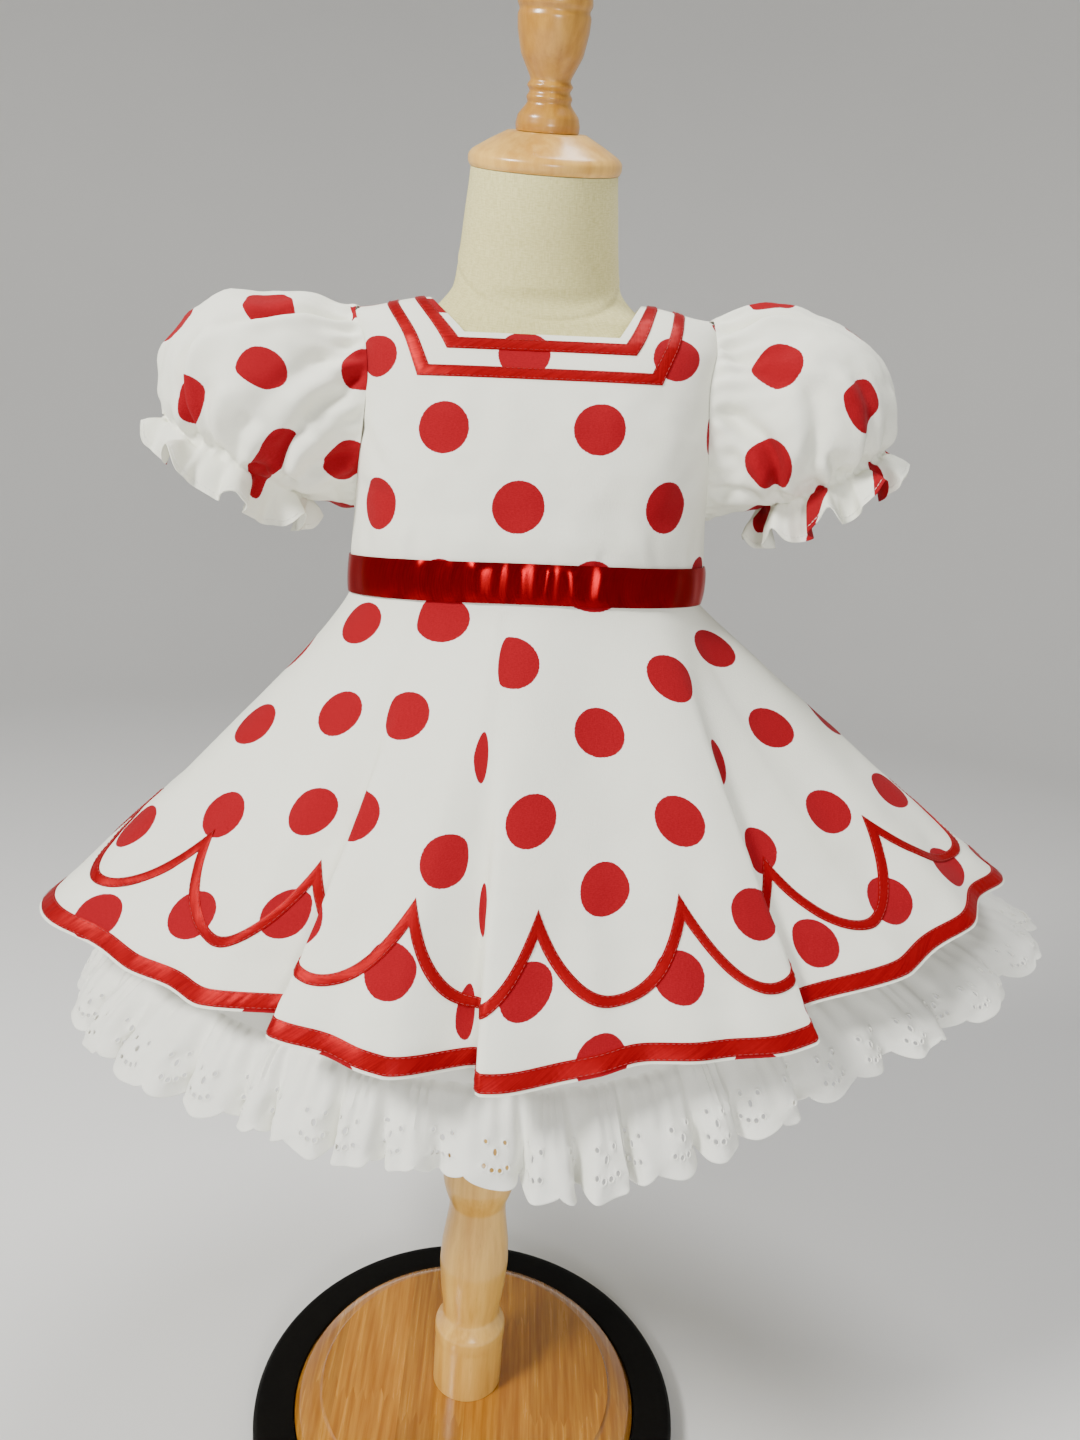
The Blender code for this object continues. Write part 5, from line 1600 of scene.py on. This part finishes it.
def crease_field(rows, turn, place):
    """Inward depth, and cloth hidden across and down, in metres, of creases at turns and places."""
    inward, across, down = 0.0, 0.0, 0.0
    for row in rows:
        way = np.array([row.end_turn - row.turn, (row.end_place - row.place) * PLACE_STEP])
        size = np.linalg.norm(way)
        x = turn - row.turn
        y = (place - row.place) * PLACE_STEP
        part = (x * way[0] + y * way[1]) / size ** 2
        off = (x * way[1] - y * way[0]) / size
        fade = ramp(part, -0.02, 0.18) * ramp(part, 1.08, 0.62)
        trough = bell((off - 0.4 * row.width) / (0.8 * row.width))
        ridge = bell((off + 1.1 * row.width) / (0.9 * row.width))
        inward = inward + fade * row.depth * (1.45 * trough - 0.9 * ridge) * MM
        past = ramp(off, -1.2, 1.2) * bell(np.maximum(off, 0) / CREASE_REACH) * fade
        across = across + past * row.across * MM
        down = down + past * row.down * MM
    return inward, across, down


def sleeve_gathers(turn, place, casing, seed):
    """How far the gathers at the armhole and about the casing stand out."""
    wander = 0.25 * np.sin(3 * turn + seed) + 0.18 * np.sin(7 * turn + 2 * seed)
    away = place - casing
    top = bell((place - 0.15) / 0.9) * ramp(place, 0.0, 0.35) * ARMHOLE_GATHERS
    top = top * (0.35 + 0.65 * ramp(np.cos(turn), -0.6, 0.5))
    gathers = top * np.sin(34 * (turn + 0.04 * wander) + seed)
    near = bell(away / 0.8) * CASING_GATHERS + bell(away / 2.2) * PUFF_GATHERS * (away < 0)
    gathers = gathers + near * np.sin(SLEEVE_WAVES * turn + wander * 2.0) * ramp(place, 1.5, 5.0)
    return gathers + bell(away / 0.6) * FINE_GATHERS * np.sin(41 * turn + wander * 5)


def frill_flutes(turn, side, seed):
    """Height of the frill's flutes, and how far they lean round the sleeve."""
    phase = FRILL_WAVES * turn + FRILL_SWING * np.sin(turn + side)
    flute = np.sin(phase + 0.45 * np.sin(phase + 2 * side)) + 0.16 * np.sin(28 * turn + seed)
    flute = flute + 0.05 * np.sin(47 * turn + 2 * seed)
    return flute, flute * np.cos(phase)


def make_sleeve(name, rings, creases, side, seed):
    """A puff sleeve with gathers at the armhole and the casing, and a frill below it."""
    columns, rows = SLEEVE_GRID
    places, turn, points = sleeve_surface(rings, side, rows, columns)
    # The flat points are measured on the even puff, at its widest row
    around = lengths(close(points), 1)
    around = around[int(np.argmax(np.where(places < CASING - 1, around[:, -1], 0)))]
    width = around[-1]
    down = lengths(close(points), 0)
    turn, place = turn[None], places[:, None]
    # The casing is nearer to the armhole beside the arm than above it
    casing = CASING - 1.2 * bell((np.abs(np.degrees(turn) - 360) - 128) / 24)
    pinch = bell((place - casing) / 0.5) * CASING_PINCH
    frill = ramp(place, casing + 0.1, FRILL_END + 0.6) * FRILL_DEPTH
    flute, lean = frill_flutes(turn, side, seed)
    inward, hidden_across, hidden_down = crease_field(creases, np.degrees(turn), place)
    inward = inward * ramp(place, casing + 0.3, casing - 0.8)
    soft = (uneven(name, points) - inward) * ramp(place, 0.0, 0.6)
    out = sleeve_gathers(turn, place, casing, seed) + frill * flute - pinch + soft
    round_way = unit(np.roll(points, -1, 1) - np.roll(points, 1, 1))
    down_way = unit(np.gradient(points, axis=0))
    points = points + normals_of(points, True, side) * out[..., None]
    points = points - round_way * (0.50 * frill * lean)[..., None]
    points = points - down_way * (0.85 * frill * np.clip(flute, 0, 1.2) ** 2)[..., None]
    across = (around[None] - width / 2 + close(hidden_across)) * side
    flat = printed(name, np.stack([across, down + close(hidden_down)], -1))
    cloth(name, points, FINE_COTTON, DOTTED, flat, closed=True, outward=side)
    edge = int(round((FRILL_END - FRILL_HEM) / FRILL_END * (rows - 1)))
    line, facing = (close(grid)[edge] for grid in (points, normals_of(points, True, side)))
    sew(name + "_stitches_white", line, facing, SLEEVE_STITCH_PITCH)
    CUT[name] = (width, float(lengths(points, 0)[-1].mean()))


# Form and stand. A seam of the linen runs round the neck, lowest just beside its front: its low
# point, its rise, its greatest height, the azimuth of its low point and the margin below it where
# the fine rows begin. Then the torso's columns and rows, and the linen's flat width.
NECK_SEAM_LOW = 0.7290
NECK_SEAM_RISE = 0.028
NECK_SEAM_TOP = 0.766
NECK_SEAM_TURN = 8
NECK_SEAM_MARGIN = 0.012
TORSO_COLUMNS = 144
FORM_BODY_ROWS = 50
FORM_NECK_ROWS = 90
LINEN_ROUND = 0.50


def make_torso():
    """The linen torso and neck, with finer rows about the seam."""
    fine_from = NECK_SEAM_LOW - NECK_SEAM_MARGIN
    heights = np.concatenate([
        np.linspace(TORSO[0].height, fine_from, FORM_BODY_ROWS),
        np.linspace(fine_from, TORSO[-1].height, FORM_NECK_ROWS)[1:],
    ])[:, None]
    azimuths = np.linspace(-180, 180, TORSO_COLUMNS + 1)[None]
    level = columns_at(TORSO, heights)
    half_depth = (level.front + level.back) / 2
    reach = reach_of(level._replace(front=half_depth, back=half_depth), azimuths[:, :-1])
    way = polar(azimuths[:, :-1], 1.0, heights)
    y = way[..., 1] * reach
    z = heights + y * np.tan(np.radians(level.tilt))
    turn = np.radians(azimuths[:, :-1] - NECK_SEAM_TURN)
    seam = np.minimum(NECK_SEAM_LOW + NECK_SEAM_RISE * (1 - np.cos(turn)), NECK_SEAM_TOP)
    groove = 1 - 0.016 * bell((z - seam) / 0.0011) + 0.006 * bell((z - seam - 0.003) / 0.002)
    points = xyz(way[..., 0] * reach * groove, y * groove + (level.back - level.front) / 2, z)[::-1]
    flat = xyz(azimuths / 360 * LINEN_ROUND, lengths(close(points), 0), 0.0)
    count = len(heights) * TORSO_COLUMNS
    ends = [list(range(TORSO_COLUMNS)), list(range(count - TORSO_COLUMNS, count))[::-1]]
    faces = grid_faces(len(heights), TORSO_COLUMNS, True).tolist() + ends
    corners = [cell_corners(flat).reshape(-1, 3), flat[0, :-1], flat[-1, :-1][::-1]]
    add_mesh("form_torso", hang(points.reshape(-1, 3)), faces, LINEN, np.concatenate(corners))


def rounded(profile, fine=6, size=0.0009):
    """A turned profile with its corners eased and its long curves made smooth."""
    radii, heights = np.array(profile).T
    run = np.concatenate([[0.0], np.cumsum(np.hypot(np.diff(radii), np.diff(heights)))])
    places = [np.linspace(low, high, fine, endpoint=False) for low, high in zip(run, run[1:])]
    places = np.concatenate([*places, run[-1:]])
    shifts = [np.clip(places + part * size, 0, run[-1]) for part in (-1, -0.5, 0, 0.5, 1)]
    soft = []
    for values in (radii, heights):
        blurred = sum(np.interp(shift, run, values) for shift in shifts) / len(shifts)
        blurred[0], blurred[-1] = values[0], values[-1]
        soft.append(blurred)
    return [Turn(radius, height) for radius, height in zip(*soft)]


def turned(name, profile, material, place=Vector(), tilt=0.0, sides=88, ring=False):
    """A solid turned about its own axis, from a profile that runs upwards, or a closed ring."""
    radii, heights = np.array(profile).T[..., None]
    points = polar(np.linspace(0, 360, sides, endpoint=False)[None], radii, heights)
    rows = len(profile)
    if ring:
        faces = [
            (a * sides + b, a * sides + (b + 1) % sides, c * sides + (b + 1) % sides, c * sides + b)
            for a, c in zip(range(rows), [*range(1, rows), 0]) for b in range(sides)
        ]
    else:
        faces = grid_faces(rows, sides, True)[:, ::-1].tolist()
        faces += [list(range(sides))[::-1], list(range((rows - 1) * sides, rows * sides))]
    matrix = np.array(Matrix.Translation(place) @ Matrix.Rotation(math.radians(tilt), 4, "X"))
    add_mesh(name, points.reshape(-1, 3) @ matrix[:3, :3].T + matrix[:3, 3], faces, material, smooth=40)


def make_stand():
    """Base, pole, neck cap and finial."""
    pole_foot = Vector((0, 0, BASE_WOOD[-1].height + GAP))
    turned("stand_base_ring", rounded(BASE_RING, size=0.0012), BLACK, ring=True, sides=144)
    turned("stand_base_disc", rounded(BASE_WOOD), BASE_WOOD_LOOK, sides=144)
    turned("stand_pole", rounded(POLE, size=0.0016), TURNED_WOOD, pole_foot)
    turned("form_neck_cap", rounded(CAP), TURNED_WOOD, CAP_CENTRE, CAP_TILT)
    tilt = math.radians(CAP_TILT)
    rise = CAP_THICKNESS + GAP
    seat = CAP_CENTRE + Vector((0, -math.sin(tilt) * rise, math.cos(tilt) * rise))
    # The finial takes the darker copy of the turned wood: painted shade.
    turned("form_finial", rounded(FINIAL, size=0.0007), FINIAL_SHADED_WOOD, seat, CAP_TILT)


# Camera, floor and light. The camera's pitch, roll and yaw, in degrees; its place, and its lens, as
# solved from the lines of the wall's boards.
CAMERA_TURN = (14.17, 4.13, 1.69)
CAMERA_PLACE = (0, -0.62292, 0.666845)
SENSOR = 36
LENS = 1081 / 1440 * SENSOR

# The floor is flat this far out, then curves up into a wall that is this high
FLOOR_REACH = 2.2
FLOOR_CURVE = 1.2
FLOOR_STEPS = 12
FLOOR_SIDES = 96
WALL_HEIGHT = 4.0
FLOOR_DARK = (0.80, 0.795, 0.78, 1.0)
FLOOR_LIGHT = (0.84, 0.835, 0.82, 1.0)
SKY_TONE = (0.96, 0.97, 1.0, 1.0)
SKY_STRENGTH = 0.18
Light = namedtuple("Light", "name place target size power tone")
LIGHTS = [
    Light("key", (-1.15, -0.95, 1.70), (0.0, 0.0, 0.55), 0.45, 52, (1.0, 0.99, 0.95)),
    Light("fill", (0.30, -1.60, 0.74), (0.0, 0.0, 0.55), 0.40, 10, (0.98, 0.98, 1.0)),
    Light("top", (0.3, 0.1, 2.2), (0.0, 0.0, 0.5), 0.8, 22, (1.0, 1.0, 1.0)),
]


def make_camera():
    """The camera at the photo's place and angle."""
    pitch, roll, yaw = (math.radians(value) for value in CAMERA_TURN)
    flat_way = math.cos(pitch)
    forward = Vector((math.sin(yaw) * flat_way, math.cos(yaw) * flat_way, -math.sin(pitch)))
    right = Vector((math.cos(yaw), -math.sin(yaw), 0))
    up = right.cross(forward)
    across = right * math.cos(roll) + up * math.sin(roll)
    above = -right * math.sin(roll) + up * math.cos(roll)
    data = bpy.data.cameras.new("camera")
    data.sensor_width = SENSOR
    data.lens = LENS
    data.clip_start = 0.01
    data.clip_end = 50
    camera = bpy.data.objects.new("camera", data)
    turn = Matrix((across, above, -forward)).transposed().to_4x4()
    camera.matrix_world = Matrix.Translation(CAMERA_PLACE) @ turn
    bpy.context.scene.collection.objects.link(camera)
    bpy.context.scene.camera = camera


def make_light(light):
    """A round area light that looks at its target."""
    data = bpy.data.lights.new(light.name, "AREA")
    data.shape = "DISK"
    data.size = light.size
    data.energy = light.power
    data.color = light.tone
    item = bpy.data.objects.new(light.name, data)
    item.location = light.place
    way = Vector(light.target) - Vector(light.place)
    item.rotation_euler = way.to_track_quat("-Z", "Y").to_euler()
    bpy.context.scene.collection.objects.link(item)


def floor_material():
    """Plain pale floor, very slightly uneven in tone."""
    shader = Shader("floor_look")
    soft = shader.noise(shader.place(), 1.4, 2.0)
    return shader.surface({
        "Base Color": shader.mix(soft, FLOOR_DARK, FLOOR_LIGHT),
        "Roughness": 0.9,
        "Specular IOR Level": 0.1,
    })


def make_room():
    """A plain pale floor that curves up into a wall all round, and soft light."""
    profile = [Turn(FLOOR_REACH, 0.0)]
    for step in range(1, FLOOR_STEPS + 1):
        angle = step / FLOOR_STEPS * math.pi / 2
        out, up = FLOOR_CURVE * math.sin(angle), FLOOR_CURVE * math.cos(angle)
        profile.append(Turn(FLOOR_REACH + out, FLOOR_CURVE - up))
    profile.append(Turn(FLOOR_REACH + FLOOR_CURVE, WALL_HEIGHT))
    radii, heights = np.array(profile).T[..., None]
    points = polar(np.linspace(0, 360, FLOOR_SIDES, endpoint=False)[None], radii, heights)
    faces = grid_faces(len(profile), FLOOR_SIDES, True).tolist() + [list(range(FLOOR_SIDES))]
    floor = add_mesh("floor", points.reshape(-1, 3), faces, floor_material(), smooth=0)
    PIECES.pop("floor")
    world = bpy.data.worlds.new("room")
    world.use_nodes = True
    background = world.node_tree.nodes["Background"]
    background.inputs["Color"].default_value = SKY_TONE
    background.inputs["Strength"].default_value = SKY_STRENGTH
    bpy.context.scene.world = world
    for light in LIGHTS:
        make_light(light)


# The least length of a cut piece. Shorter pieces, the ribbons, are skipped by the loop over CUT below,
# which does nothing else.
LEAST_SHEET = 0.01

for half in ("front", "back"):
    make_skirt(half)
    make_underskirt(half)
    make_ruffle(half)
for half in ("front", "back"):
    make_bodice(half)
make_sash()
make_sleeve("sleeve_left", LEFT_SLEEVE, LEFT_CREASES, -1, 1)
make_sleeve("sleeve_right", RIGHT_SLEEVE, RIGHT_CREASES, 1, 2)
finish_stitches()
make_torso()
make_stand()

SLOTS = {row["node"]: row["material_slot"] for row in frame["record"]["subparts"]}
for name, piece in PIECES.items():
    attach(piece, "root")
    if name in SLOTS:
        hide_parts(name)

for name, (width, length) in CUT.items():
    if length < LEAST_SHEET:
        continue

make_camera()
make_room()
